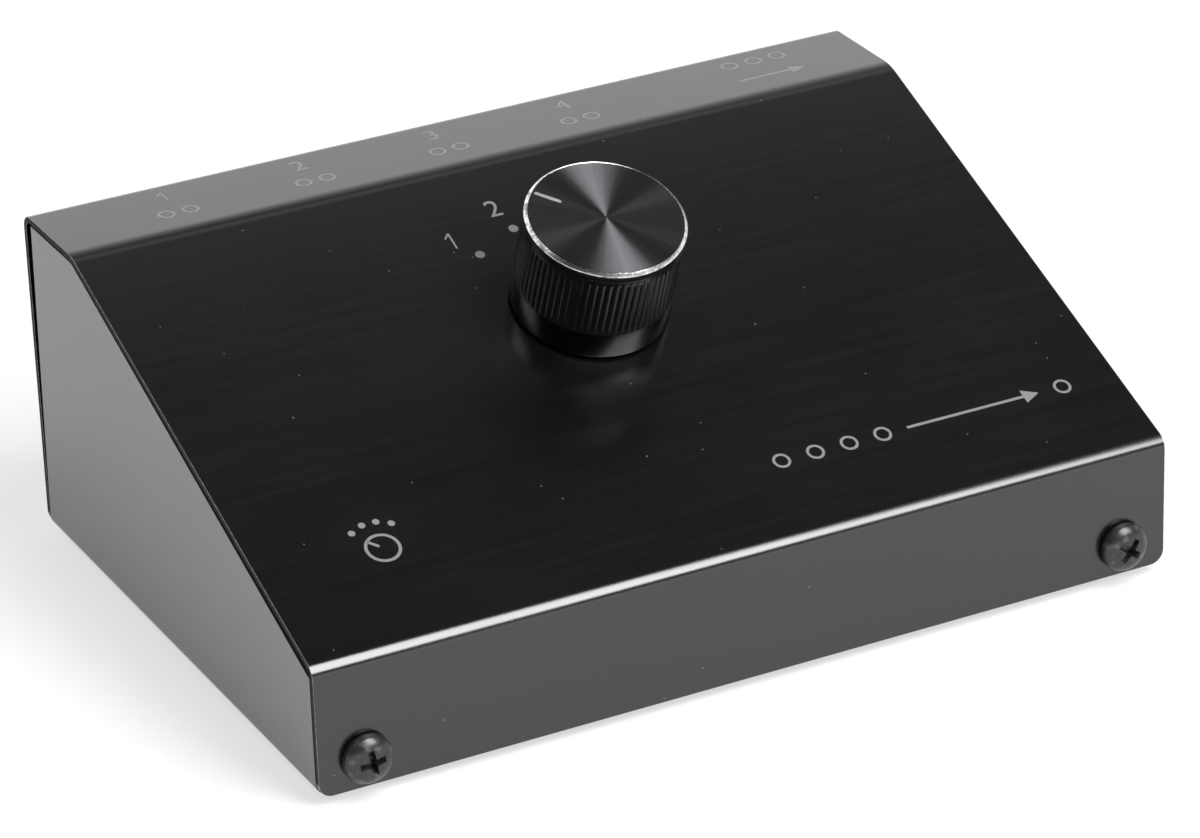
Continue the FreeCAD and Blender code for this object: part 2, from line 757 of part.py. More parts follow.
def jack_board():
    # upright circuit board that the tails of all the jacks are soldered to
    item = body("jack_board", case_pose("0", "Sizes.case_depth", "Sizes.jack_rise"))
    last = JACK_PLACES["output"]
    outline = sketch(item, "XZ_Plane", lift("-Derived.block_back"))
    rectangle(outline, "Derived.first_jack_place - Sizes.jack_board_end", f"{last} + Sizes.jack_board_end",
              "Sizes.jack_board_low - Sizes.jack_rise",
              "Sizes.jack_pair_pitch / 2 + Sizes.block_end + Sizes.jack_board_margin")
    pad(item, outline, "Sizes.board_thick")
    holes = sketch(item, "XZ_Plane", lift("-Derived.block_back"))
    for place in JACK_PLACES.values():
        for rise in PAIR_RISES:
            circle(holes, "Derived.tail_hole", place, rise)
            circle(holes, "Derived.shell_tail_hole", place, f"{rise} + Derived.shell_middle")
    pocket(item, holes, "4 * Sizes.board_thick", both=True)
    return item


def header(label, placement):
    # plug housing of the ribbon cable; its mouth looks along -Z of its own frame
    item = body(label, placement)
    outline = sketch(item, "XY_Plane")
    half = "(Sizes.header_width / 2)"
    thick = "(Sizes.header_height / 2)"
    rectangle(outline, f"-{half}", half, f"-{thick}", thick)
    pad(item, outline, "Sizes.header_deep", reverse=True)

    def corner(edge):
        box = edge.BoundBox
        return near(box.XLength, 0) and near(box.YLength, 0)
    fillet(item, "Sizes.header_round", corner)
    return item


def ribbon_cable():
    # flat cable from the switch's board, bent once, to the jack board
    item = body("ribbon_cable", case_pose())
    half = "(Sizes.ribbon_thick / 2)"
    end = "Sizes.case_depth + Derived.board_back - Sizes.header_deep"
    slope = "Derived.slope_angle"

    def bend(side):
        start = (f"Derived.ribbon_y {side} {half} * cos({slope})",
                 f"Derived.ribbon_z {side} {half} * sin({slope})")
        level = f"Sizes.jack_header_rise {side} {half}"
        turn = (f"{start[0]} + ({start[1]} - ({level})) * tan({slope})", level)
        return start, turn, (end, level)
    upper = bend("+")
    lower = bend("-")
    profile = sketch(item, "YZ_Plane")
    polygon(profile, [*upper, *reversed(lower)])
    pad(item, profile, "Sizes.ribbon_width", both=True)
    fillet(item, f"Derived.ribbon_turn - {half}", along_x_at(upper[1]))
    fillet(item, f"Derived.ribbon_turn + {half}", along_x_at(lower[1]))
    return item


def wiring():
    jack_board()
    header("switch_header", switch_pose() + " * " + pose(z="Derived.switch_board_bottom"))
    back = case_pose("0", "Sizes.case_depth + Derived.board_back", "Sizes.jack_header_rise")
    header("jack_header", back + " * " + pose(axis=ABOUT_X, angle="-90"))
    ribbon_cable()


# Rotary switch under the sloping panel; its frame stands on the panel's outer face

def ring(label, inner, outer, low, high, placement=None):
    return turned(label, placement or switch_pose(), tube_spots(inner, outer, low, high))


def bushing():
    bore = "Sizes.shaft_radius + Sizes.shaft_clearance"
    return turned("bushing", switch_pose(), [
        (bore, "Derived.plate_bottom"), ("Sizes.swage_radius", "Derived.plate_bottom"),
        ("Sizes.swage_radius", "Derived.plate_top"), ("Sizes.bushing_radius", "Derived.plate_top"),
        ("Sizes.bushing_radius", "Sizes.bushing_reach"), (bore, "Sizes.bushing_reach"),
    ])


def lock_washer():
    item = ring("lock_washer", "Derived.bushing_hole", "Sizes.lock_washer_radius",
                "Derived.plate_top", "Derived.wall_inside")
    tooth = sketch(item, "XY_Plane", lift("Derived.plate_top"))
    half = "(Sizes.lock_tooth_width / 2)"
    rectangle(tooth, "0", "Derived.bushing_hole + Sizes.lock_tooth_deep", f"-{half}", half)
    gap = pocket(item, tooth, "4 * Sizes.lock_washer_thick", both=True)
    polar(item, gap, "Sizes.lock_tooth_count")
    return item


def mount_nut():
    item = body("mount_nut", switch_pose())
    outline = sketch(item, "XY_Plane", lift("Sizes.flat_washer_thick"))
    corner = "Sizes.nut_flats / 2 / cos(30)"
    polygon(outline, [(f"{corner} * cos({60 * index})", f"{corner} * sin({60 * index})")
                      for index in range(6)])
    circle(outline, "Sizes.bushing_radius + Sizes.thread_clearance")
    pad(item, outline, "Sizes.nut_thick")
    return item


def index_spots(radius, opposite=False):
    # the switch's positions round the axis, the first at the far left
    turn = 180 if opposite else 0
    spots = []
    for index in range(round(number("Sizes.position_count"))):
        angle = f"(90 + {turn} + Derived.rest_turn - {index} * Sizes.index_angle)"
        spots.append((f"{radius} * cos({angle})", f"{radius} * sin({angle})"))
    return spots


def ear_places():
    return [(f"{side}Sizes.ear_place", "0") for side in SIDES]


def frame_plate():
    # steel plate with a locating tab and the dimples that the detent ball drops into
    item = body("frame_plate", switch_pose())
    outline = sketch(item, "XY_Plane", lift("Derived.plate_bottom"))
    half = "(Sizes.plate_width / 2)"
    tall = "(Sizes.plate_height / 2)"
    rectangle(outline, f"-{half}", half, f"-{tall}", tall)
    pad(item, outline, "Sizes.plate_thick")

    def corner(edge):
        box = edge.BoundBox
        return near(box.XLength, 0) and near(box.YLength, 0)
    fillet(item, "Sizes.plate_round", corner)
    tab = sketch(item, "XY_Plane", lift("Derived.plate_top"))
    wide = "(Sizes.tab_width / 2)"
    thick = "Sizes.tab_thick / 2"
    rectangle(tab, f"-{wide}", wide, f"Sizes.tab_place - {thick}", f"Sizes.tab_place + {thick}")
    pad(item, tab, "Sizes.lock_washer_thick + Sizes.sheet_thick")
    holes = sketch(item, "XY_Plane", lift("Derived.plate_bottom"))
    circle(holes, "Sizes.swage_radius + Sizes.swage_clearance")
    for across, up in ear_places():
        circle(holes, "Sizes.rivet_radius + Sizes.rivet_clearance", across, up)
    pocket(item, holes, "4 * Sizes.plate_thick", both=True)
    dimples = sketch(item, "XY_Plane", lift("Derived.plate_bottom"))
    for across, up in index_spots("Sizes.detent_place"):
        circle(dimples, "Sizes.dimple_radius", across, up)
    pocket(item, dimples, "2 * Sizes.dimple_deep", both=True)
    return item


def eared_disc(label, low, thick):
    # a round moulding with an ear for each rivet
    item = body(label, switch_pose())
    disc = sketch(item, "XY_Plane", lift(low))
    circle(disc, "Sizes.housing_radius")
    pad(item, disc, thick)
    for across, up in ear_places():
        ear = sketch(item, "XY_Plane", lift(low))
        circle(ear, "Sizes.ear_radius", across, up)
        pad(item, ear, thick)
    rivets = sketch(item, "XY_Plane", lift(low))
    for across, up in ear_places():
        circle(rivets, "Sizes.rivet_radius + Sizes.rivet_clearance", across, up)
    pocket(item, rivets, f"4 * {thick}", both=True)
    return item


def switch_housing():
    item = eared_disc("switch_housing", "Derived.housing_bottom", "Sizes.housing_depth")
    hollow = sketch(item, "XY_Plane", lift("Derived.housing_bottom"))
    circle(hollow, "Sizes.housing_radius - Sizes.housing_wall")
    pocket(item, hollow, "4 * Sizes.housing_depth", both=True)
    return item


def terminal_spots():
    commons = [("0", "Sizes.common_place"), ("0", "-Sizes.common_place")]
    throws = index_spots("Sizes.throw_place") + index_spots("Sizes.throw_place", opposite=True)
    return commons, throws


def stator_wafer():
    # board that closes the housing and carries the fixed contacts
    item = eared_disc("stator_wafer", "Derived.wafer_bottom", "Sizes.wafer_thick")
    holes = sketch(item, "XY_Plane", lift("Derived.wafer_bottom"))
    circle(holes, "Sizes.journal_radius + Sizes.shaft_clearance")
    commons, throws = terminal_spots()
    for across, up in commons + throws:
        circle(holes, "Derived.terminal_hole", across, up)
    pocket(item, holes, "4 * Sizes.wafer_thick", both=True)
    return item


def terminal(label, head):
    # a contact pad on the wafer with its pin through both boards
    item = master(label)
    outline = sketch(item, "XY_Plane", lift("Derived.housing_bottom"))
    head(outline)
    pad(item, outline, "Sizes.pad_thick")
    pin = sketch(item, "XY_Plane", lift("Derived.housing_bottom"))
    circle(pin, "Sizes.terminal_radius")
    pad(item, pin, "Sizes.wafer_thick + Sizes.terminal_gap + Sizes.board_thick + Sizes.terminal_stub",
        reverse=True)
    return item


def terminals():
    def bar(outline):
        half = "(Sizes.common_place - Sizes.journal_radius - Sizes.rotor_gap)"
        thick = "(Sizes.common_width / 2)"
        rectangle(outline, f"-{half}", half, f"-{thick}", thick)

    def button(outline):
        circle(outline, "Sizes.pad_radius")
    commons, throws = terminal_spots()
    for label, head, spots in (("common_terminals", bar, commons), ("throw_terminals", button, throws)):
        piece = terminal(label[:-1], head)
        group(label, piece, [switch_pose() + " * " + pose(*spot) for spot in spots])


def switch_board():
    item = body("switch_board", switch_pose())
    outline = sketch(item, "XY_Plane", lift("Derived.switch_board_bottom"))
    half = "(Sizes.switch_board_width / 2)"
    tall = "(Sizes.switch_board_height / 2)"
    rectangle(outline, f"-{half}", half, f"-{tall}", tall)
    pad(item, outline, "Sizes.board_thick")
    holes = sketch(item, "XY_Plane", lift("Derived.switch_board_bottom"))
    commons, throws = terminal_spots()
    for across, up in commons + throws:
        circle(holes, "Derived.terminal_hole", across, up)
    pocket(item, holes, "4 * Sizes.board_thick", both=True)
    return item


def switch_rivets():
    item = master("switch_rivet")
    profile = sketch(item, "XZ_Plane")
    top = "Derived.plate_top"
    bottom = "Derived.wafer_bottom"
    polygon(profile, [
        ("0", f"{bottom} - Sizes.rivet_head_thick"),
        ("Sizes.rivet_head_radius", f"{bottom} - Sizes.rivet_head_thick"),
        ("Sizes.rivet_head_radius", bottom), ("Sizes.rivet_radius", bottom),
        ("Sizes.rivet_radius", top), ("Sizes.rivet_head_radius", top),
        ("Sizes.rivet_head_radius", f"{top} + Sizes.rivet_head_thick"),
        ("0", f"{top} + Sizes.rivet_head_thick"),
    ])
    revolve(item, profile)
    group("switch_rivets", item, [switch_pose() + " * " + pose(*spot) for spot in ear_places()])


def switch():
    bushing()
    lock_washer()
    ring("flat_washer", "Derived.bushing_hole", "Sizes.flat_washer_radius", "0", "Sizes.flat_washer_thick")
    mount_nut()
    frame_plate()
    switch_housing()
    stator_wafer()
    terminals()
    switch_board()
    switch_rivets()


# What turns: shaft, rotor and knob, drawn with the pointer along +Y of their own frame

def cut_flat(item, low, length):
    # the flat faces the pointer's side
    flat = sketch(item, "XY_Plane", lift(low))
    side = "2 * Sizes.shaft_radius"
    rectangle(flat, f"-{side}", side, "Sizes.shaft_flat", side)
    pocket(item, flat, length, reverse=True)


def shaft():
    item = turned("shaft", selector_pose(), [
        ("0", "Derived.wafer_bottom"), ("Sizes.journal_radius", "Derived.wafer_bottom"),
        ("Sizes.journal_radius", "Derived.rotor_bottom"), ("Sizes.shaft_radius", "Derived.rotor_bottom"),
        ("Sizes.shaft_radius", "Derived.groove_low"),
        ("Sizes.shaft_radius - Sizes.clip_groove", "Derived.groove_low"),
        ("Sizes.shaft_radius - Sizes.clip_groove", "Derived.clip_low + Sizes.clip_thick + Sizes.clip_gap"),
        ("Sizes.shaft_radius", "Derived.clip_low + Sizes.clip_thick + Sizes.clip_gap"),
        ("Sizes.shaft_radius", "Sizes.shaft_reach"), ("0", "Sizes.shaft_reach"),
    ])
    cut_flat(item, "Sizes.shaft_reach - Sizes.flat_length", "Sizes.flat_length")
    cut_flat(item, "Derived.rotor_bottom", "Sizes.rotor_thick")
    return item


def d_bore(item, low, length, clearance):
    # a bore with a flat that matches the shaft's
    bore = sketch(item, "XY_Plane", lift(low))
    circle(bore, f"Sizes.shaft_radius + {clearance}")
    pocket(item, bore, length, reverse=True)
    key = sketch(item, "XY_Plane", lift(low))
    half = f"(Sizes.shaft_radius + {clearance})"
    rectangle(key, f"-{half}", half, f"Sizes.shaft_flat + {clearance}", f"{half} + {clearance}")
    pad(item, key, length)


def retaining_clip():
    item = body("retaining_clip", selector_pose())
    profile = sketch(item, "XZ_Plane")
    inner = "Sizes.shaft_radius - Sizes.clip_groove + Sizes.clip_gap"
    polygon(profile, tube_spots(inner, "Sizes.clip_radius", "Derived.clip_low",
                                "Derived.clip_low + Sizes.clip_thick"))
    revolve(item, profile, "360 - Sizes.clip_open_angle")
    return item


def rotor():
    item = body("rotor", selector_pose())
    disc = sketch(item, "XY_Plane", lift("Derived.rotor_bottom"))
    circle(disc, "Sizes.rotor_radius")
    pad(item, disc, "Sizes.rotor_thick")
    d_bore(item, "Derived.rotor_bottom", "Sizes.rotor_thick", "Sizes.shaft_clearance")
    well = sketch(item, "XY_Plane", lift("Derived.rotor_top"))
    circle(well, "Sizes.ball_radius + Sizes.ball_clearance", "0", "Sizes.detent_place")
    pocket(item, well, "Derived.rotor_top - Derived.spring_base")
    return item


def wipers():
    # a bridge from the common bar out to the throw contacts, held up to the rotor
    item = master("wiper")
    half = "(Sizes.wiper_width / 2)"
    inner = "(Sizes.common_place - Sizes.wiper_overhang)"
    outer = "(Sizes.throw_place + Sizes.wiper_overhang)"
    low = "Derived.wiper_bottom"
    high = "Derived.rotor_bottom"
    profile = sketch(item, "YZ_Plane")
    thick = "Sizes.wiper_thick"
    middle = "((Sizes.common_place + Sizes.throw_place) / 2)"
    polygon(profile, [
        (inner, low), (f"{inner} + 2 * {half}", low), (f"{middle} - {half}", f"{high} - {thick}"),
        (f"{middle} + {half}", f"{high} - {thick}"), (f"{outer} - 2 * {half}", low), (outer, low),
        (outer, f"{low} + {thick}"), (f"{outer} - 2 * {half} + {thick}", f"{low} + {thick}"),
        (f"{middle} + {half}", high), (f"{middle} - {half}", high),
        (f"{inner} + 2 * {half} - {thick}", f"{low} + {thick}"), (inner, f"{low} + {thick}"),
    ])
    pad(item, profile, "Sizes.wiper_width", both=True)
    turn = pose(axis=ABOUT_Z, angle="180")
    group("wipers", item, [selector_pose(), selector_pose() + " * " + turn])


def detent():
    spot = pose("0", "Sizes.detent_place", "Derived.ball_centre")
    ball = doc.addObject("Part::Sphere", "detent_ball")
    ball.Label = "detent_ball"
    ball.setExpression("Radius", "Sizes.ball_radius")
    ball.setExpression("Placement", selector_pose() + " * " + spot)
    subparts.append(ball)

    # the coil spring under the ball, as the sleeve that its turns fill
    foot = pose("0", "Sizes.detent_place", "Derived.spring_base")
    turned("detent_spring", selector_pose() + " * " + foot, tube_spots(
        "Sizes.spring_radius - Sizes.spring_wire / 2", "Sizes.spring_radius + Sizes.spring_wire / 2",
        "0", "Sizes.spring_length"))


def knob_shell():
    # turned aluminium skin with a bevelled rim and a knurled grip
    item = turned("knob_shell", selector_pose(), [
        ("Derived.skin_inner", "Sizes.knob_gap"), ("Sizes.knob_radius", "Sizes.knob_gap"),
        ("Sizes.knob_radius", "Derived.knob_top - Sizes.knob_bevel"),
        ("Sizes.knob_radius - Sizes.knob_bevel", "Derived.knob_top"), ("0", "Derived.knob_top"),
        ("0", "Derived.knob_top - Sizes.knob_skin"),
        ("Derived.skin_inner", "Derived.knob_top - Sizes.knob_skin"),
    ])
    low = "Sizes.knob_gap + Sizes.knob_band"
    tooth = sketch(item, "XY_Plane", lift(low))
    half = "(Sizes.knurl_width / 2)"
    root = "Sizes.knob_radius - Sizes.knurl_deep"
    rim = "Sizes.knob_radius + Sizes.knurl_deep"
    polygon(tooth, [(root, "0"), (rim, f"-2 * {half}"), (rim, f"2 * {half}")])
    groove = pocket(item, tooth, f"Derived.knob_top - Sizes.knob_collar - ({low})", reverse=True)
    polar(item, groove, "Sizes.knurl_count")

    mark = sketch(item, "XY_Plane", lift("Derived.knob_top"))
    wide = "(Sizes.pointer_width / 2)"
    rectangle(mark, f"-{wide}", wide, "Sizes.pointer_inner", "Sizes.pointer_outer")
    pocket(item, mark, "Sizes.pointer_deep")

    grub = sketch(item, "XZ_Plane")
    circle(grub, "Sizes.grub_radius + Sizes.grub_clearance", "0", "Sizes.grub_rise")
    pocket(item, grub, "2 * Sizes.knob_radius")
    return item


def knob_core():
    # moulded insert with the shaft's bore and a hollow over the nut
    item = body("knob_core", selector_pose())
    disc = sketch(item, "XY_Plane", lift("Sizes.knob_gap"))
    circle(disc, "Derived.skin_inner - Sizes.knob_fit")
    pad(item, disc, "Derived.core_top - Sizes.knob_gap")
    hollow = sketch(item, "XY_Plane", lift("Sizes.knob_gap"))
    circle(hollow, "Sizes.knob_recess_radius")
    pocket(item, hollow, "Sizes.knob_recess_deep", reverse=True)
    floor = "Sizes.knob_gap + Sizes.knob_recess_deep"
    d_bore(item, floor, f"Sizes.shaft_reach + Sizes.knob_gap - ({floor})", "Sizes.knob_fit")
    grub = sketch(item, "XZ_Plane")
    circle(grub, "Sizes.grub_radius + Sizes.thread_clearance", "0", "Sizes.grub_rise")
    pocket(item, grub, "2 * Sizes.knob_radius")
    return item


def knob_pointer():
    # white filling of the pointer's groove
    item = body("knob_pointer", selector_pose())
    mark = sketch(item, "XY_Plane", lift("Derived.knob_top - Sizes.pointer_deep"))
    wide = "(Sizes.pointer_width / 2 - Sizes.knob_fit / 2)"
    rectangle(mark, f"-{wide}", wide, "Sizes.pointer_inner + Sizes.knob_fit / 2",
              "Sizes.pointer_outer - Sizes.knob_fit / 2")
    pad(item, mark, "Sizes.pointer_deep")
    return item


def knob_grub_screw():
    item = body("knob_grub_screw", selector_pose())
    start = "Sizes.shaft_flat + Sizes.knob_fit"
    rod = sketch(item, "XZ_Plane", lift(f"-({start})"))
    circle(rod, "Sizes.grub_radius", "0", "Sizes.grub_rise")
    pad(item, rod, "Sizes.grub_length", reverse=True)
    socket = sketch(item, "XZ_Plane", lift(f"-({start} + Sizes.grub_length)"))
    corner = "Sizes.grub_socket_flats / 2 / cos(30)"
    polygon(socket, [(f"{corner} * cos({60 * index})", f"Sizes.grub_rise + {corner} * sin({60 * index})")
                     for index in range(6)])
    pocket(item, socket, "Sizes.grub_socket_deep", reverse=True)
    return item


def selector():
    shaft()
    retaining_clip()
    rotor()
    wipers()
    detent()
    knob_shell()
    knob_core()
    knob_pointer()
    knob_grub_screw()


cover()
base()
case_screws()
feet()
jacks()
wiring()
switch()
selector()
doc.recompute()

failed = [item.Label for item in doc.Objects if {"Invalid", "Error"} & set(item.State)]
bad = [item.Label for item in subparts if item.Shape.isNull() or not item.Shape.isValid()]
if failed or bad:
    raise ValueError(f"failed: {failed}, bad shapes: {bad}")

os.makedirs("parts", exist_ok=True)
for item in subparts:
    item.Shape.exportStep(f"parts/{item.Label}.step")
    print(item.Label, len(item.Shape.Solids), round(item.Shape.Volume, 2))
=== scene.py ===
import json
import math

import bmesh
import bpy
from mathutils import Matrix, Vector

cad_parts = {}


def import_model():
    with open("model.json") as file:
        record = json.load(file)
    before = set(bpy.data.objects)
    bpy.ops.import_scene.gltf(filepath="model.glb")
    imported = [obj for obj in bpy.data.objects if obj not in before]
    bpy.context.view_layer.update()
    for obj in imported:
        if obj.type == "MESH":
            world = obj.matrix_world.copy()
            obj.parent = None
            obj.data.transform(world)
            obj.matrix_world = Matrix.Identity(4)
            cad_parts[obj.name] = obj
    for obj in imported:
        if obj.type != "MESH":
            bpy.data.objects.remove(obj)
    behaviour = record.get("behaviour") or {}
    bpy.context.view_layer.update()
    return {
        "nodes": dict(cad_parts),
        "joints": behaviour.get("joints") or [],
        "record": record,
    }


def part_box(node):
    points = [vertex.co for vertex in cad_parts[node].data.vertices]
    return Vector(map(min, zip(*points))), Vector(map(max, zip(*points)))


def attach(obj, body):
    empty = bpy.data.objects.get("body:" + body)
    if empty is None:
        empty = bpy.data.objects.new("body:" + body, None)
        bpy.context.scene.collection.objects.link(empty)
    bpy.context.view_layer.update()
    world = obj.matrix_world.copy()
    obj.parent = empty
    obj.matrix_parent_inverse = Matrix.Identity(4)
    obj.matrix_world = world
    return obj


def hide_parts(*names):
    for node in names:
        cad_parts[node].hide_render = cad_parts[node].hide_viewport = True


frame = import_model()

# A desk-top audio selector box: satin black steel case, one spun and knurled knob.
# The object's lengths are in millimetres, turned into metres by MM. Lamps and floor are in metres.
MM = 0.001
nodes = frame["nodes"]
selector_turn = frame["joints"][0]

# The panel's own frame: X along the front, Y up the slope, Z out of the panel, origin under the knob
PANEL_NORMAL = -Vector(selector_turn["axis"])
PANEL_UP = PANEL_NORMAL.cross(Vector((1, 0, 0)))
PANEL_TURN = Matrix((
    (1, PANEL_UP.x, PANEL_NORMAL.x),
    (0, PANEL_UP.y, PANEL_NORMAL.y),
    (0, PANEL_UP.z, PANEL_NORMAL.z)))
PANEL = Matrix.Translation(selector_turn["pos_m"]) @ PANEL_TURN.to_4x4()
CASE_LOW, CASE_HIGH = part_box("cover")

# Sheet
COVER_EASE = 0.16
BASE_EASE = 0.12
# Width of the band by the cover's sides whose eased corners take the painted edge highlight
EDGE_HIGHLIGHT_WIDTH = 0.2

# Knob
KNOB_RADIUS = 11.2
KNOB_LOW = 0.5
KNOB_TOP = 16.08
KNOB_BEVEL = 0.45
KNOB_BAND = 4.2
KNOB_COLLAR = 2.2
KNOB_WALL = 1.25
KNOB_ROOF = 0.9
KNURL_COUNT = 72
KNURL_DEEP = 0.18
KNURL_FADE = 1.2
RIM_GAP = 0.12
RIM_GROOVE_DROP = 1.35
RIM_GROOVE_DEEP = 0.16
REST_TURN = math.radians(45)
POINTER_INNER = 6.4
POINTER_OUTER = 10.42
POINTER_WIDTH = 0.62
POINTER_DEEP = 0.3
DISC_SINK = 0.15
DISC_SKIRT = 0.1
GRUB_RADIUS = 1.6
GRUB_DEEP = 3
GRUB_RISE = 10.3

# Marks printed on the panel and the strip
PRINT_THICK = 0.012
DIAL_STEP = math.radians(25.7)
DIAL_COUNT = 4
DIAL_TURNS = [(index - (DIAL_COUNT - 1) / 2) * DIAL_STEP for index in range(DIAL_COUNT)]
DOT_PLACE = 16.7
DOT_RADIUS = 0.7
NUMERAL_PLACE = 21.3
NUMERAL_HEIGHT = 3.1
INPUTS = ["1", "2", "3", "4"]


class Number:
    """A socket's value, which varies over a surface: arithmetic on it adds Math nodes."""

    def __init__(self, finish, socket):
        self.finish = finish
        self.socket = socket

    def __add__(self, other):
        return self.finish.maths("ADD", self, other)

    def __sub__(self, other):
        return self.finish.maths("SUBTRACT", self, other)

    def __rsub__(self, other):
        return self.finish.maths("SUBTRACT", other, self)

    def __mul__(self, other):
        return self.finish.maths("MULTIPLY", self, other)

    def __lt__(self, other):
        return self.finish.maths("LESS_THAN", self, other)

    __radd__ = __add__
    __rmul__ = __mul__

    def smooth(self, low, high):
        """0 below low, 1 above high, eased between."""
        return self.finish.node("MapRange", {"interpolation_type": "SMOOTHSTEP"},
                                {"Value": self, "From Min": low, "From Max": high})


class Finish:
    """The node tree of one material, or of the world."""

    def __init__(self, owner, output):
        self.owner = owner
        owner.use_nodes = True
        self.tree = owner.node_tree
        self.tree.nodes.clear()
        self.output = self.tree.nodes.new("ShaderNodeOutput" + output)

    def node(self, kind, settings=None, inputs=None, out=0):
        made = self.tree.nodes.new("ShaderNode" + kind)
        for key, value in (settings or {}).items():
            setattr(made, key, value)
        for key, value in (inputs or {}).items():
            self.feed(made.inputs[key], value)
        return Number(self, made.outputs[out])

    def feed(self, socket, value):
        if isinstance(value, Number):
            self.tree.links.new(value.socket, socket)
        elif socket.type == "RGBA":
            socket.default_value = (*value, 1)
        else:
            socket.default_value = value

    def maths(self, operation, *terms):
        return self.node("Math", {"operation": operation}, dict(enumerate(terms)))

    def place(self, out="Object"):
        return self.node("TexCoord", out=out)

    def scaled(self, vector, scale):
        """vector with each part multiplied, for a pattern that is longer one way."""
        return self.node("VectorMath", {"operation": "MULTIPLY"}, {0: vector, 1: scale})

    def split(self, vector):
        made = self.node("SeparateXYZ", inputs={0: vector}).socket.node
        return [Number(self, socket) for socket in made.outputs]

    def noise(self, vector, per_metre, detail=2.0, rough=0.5):
        return self.node("TexNoise", inputs={
            "Vector": vector, "Scale": per_metre, "Detail": detail, "Roughness": rough})

    def mix(self, share, first, second):
        return self.node("Mix", {"data_type": "RGBA"}, {0: share, 6: first, 7: second}, out=2)

    def bump(self, height, distance):
        return self.node("Bump", inputs={"Strength": 1.0, "Distance": distance, "Height": height})

    def surface(self, **inputs):
        shader = self.node("BsdfPrincipled", inputs={
            key.replace("_", " "): value for key, value in inputs.items()})
        return self.ends_in(shader)

    def ends_in(self, shader):
        """Leads the shader out, and gives back the material or world."""
        self.tree.links.new(shader.socket, self.output.inputs["Surface"])
        return self.owner


def material(name):
    return Finish(bpy.data.materials.new(name), "Material")


def specks(finish, vector, apart, radius, share):
    """1 inside small scattered dots, 0 elsewhere."""
    cells = finish.node("TexVoronoi", inputs={"Vector": vector, "Scale": 1 / (apart * MM)}).socket.node
    near = Number(finish, cells.outputs["Distance"]) < radius / apart
    chosen = finish.split(Number(finish, cells.outputs["Color"]))[0] < share
    return near * chosen


def enamel(name, colour, worn, rough, specular, coat=0.0):
    """Satin stoved enamel on rolled sheet: fine grain, faint bands along the sheet, a little dust."""
    finish = material(name)
    place = finish.place()
    grain = finish.noise(place, 2200, 3)
    bands = finish.noise(finish.scaled(place, (0.06, 1, 1)), 900, 3)
    cloud = finish.noise(place, 35, 3)
    tone = finish.mix(0.35 * bands + 0.45 * cloud, colour, worn)
    dust = specks(finish, place, apart=2.0, radius=0.1, share=0.2)
    dusty = finish.mix(dust * 0.6, tone, (0.22, 0.22, 0.21))
    return finish.surface(
        Base_Color=dusty,
        Roughness=rough + 0.06 * (bands - 0.5) + 0.05 * (cloud - 0.5) + 0.3 * dust,
        Specular_IOR_Level=specular,
        Coat_Weight=coat,
        Coat_Roughness=0.3,
        Coat_IOR=1.7,
        Normal=finish.bump(grain + 0.5 * bands, 0.0035 * MM))


def raw_edge(name):
    """The sheared edge of the sheet, under a thin dull coat."""
    finish = material(name)
    tear = finish.noise(finish.scaled(finish.place(), (3, 1, 1)), 1500, 2)
    return finish.surface(
        Base_Color=finish.mix(tear, (0.008, 0.008, 0.008), (0.024, 0.024, 0.024)),
        Roughness=0.75 + 0.15 * tear,
        Specular_IOR_Level=0.2,
        Normal=finish.bump(tear, 0.01 * MM))


def painted_edge_highlight(name):
    """The sheet's outer corner, painted lighter in patches and partly metallic: a painted highlight along
    the edge.
    """
    finish = material(name)
    highlight_patches = finish.noise(finish.scaled(finish.place(), (1, 3, 3)), 700, 3)
    return finish.surface(
        # Painted highlight: the lighter colour stands for light caught along the edge
        Base_Color=finish.mix(highlight_patches.smooth(0.3, 0.7), (0.1, 0.1, 0.1), (0.34, 0.34, 0.34)),
        Metallic=0.3,
        Roughness=0.3 + 0.1 * highlight_patches,
        Normal=finish.bump(highlight_patches, 0.004 * MM))


def plastic(name, colour, rough):
    """Moulded plastic with a fine spark-eroded grain."""
    finish = material(name)
    place = finish.place()
    grain = finish.noise(place, 3000, 2)
    cloud = finish.noise(place, 180, 2)
    dark = tuple(0.75 * part for part in colour)
    return finish.surface(
        Base_Color=finish.mix(cloud, dark, colour),
        Roughness=rough + 0.12 * (grain - 0.5),
        Normal=finish.bump(grain, 0.004 * MM))


def metal(name, colour, rough, stain=0.25, grain_size=0.5):
    """Plated or bare metal with a fine grain and a light stain."""
    finish = material(name)
    place = finish.place()
    grain = finish.noise(place, 1 / (grain_size * MM), 3)
    cloud = finish.noise(place, 250, 3)
    dark = tuple((1 - stain) * part for part in colour)
    return finish.surface(
        Base_Color=finish.mix(cloud, dark, colour),
        Metallic=1.0,
        Roughness=rough + 0.14 * (grain - 0.5) + 0.08 * (cloud - 0.5),
        Normal=finish.bump(grain, 0.002 * MM))


def rubber(name):
    """Matt black rubber."""
    finish = material(name)
    grain = finish.noise(finish.place(), 1400, 4)
    return finish.surface(
        Base_Color=finish.mix(grain, (0.008, 0.008, 0.008), (0.022, 0.022, 0.021)),
        Roughness=0.72 + 0.15 * grain,
        Specular_IOR_Level=0.35,
        Normal=finish.bump(grain, 0.02 * MM))


def board_laminate(name):
    """Brown paper laminate with a faint weave."""
    finish = material(name)
    place = finish.place()
    weave = finish.node("TexWave", inputs={"Vector": place, "Scale": 900.0, "Distortion": 1.5})
    cloud = finish.noise(place, 120, 3)
    return finish.surface(
        Base_Color=finish.mix(0.6 * cloud + 0.25 * weave, (0.14, 0.062, 0.02), (0.3, 0.16, 0.06)),
        Roughness=0.5 + 0.1 * weave,
        Normal=finish.bump(weave, 0.003 * MM))


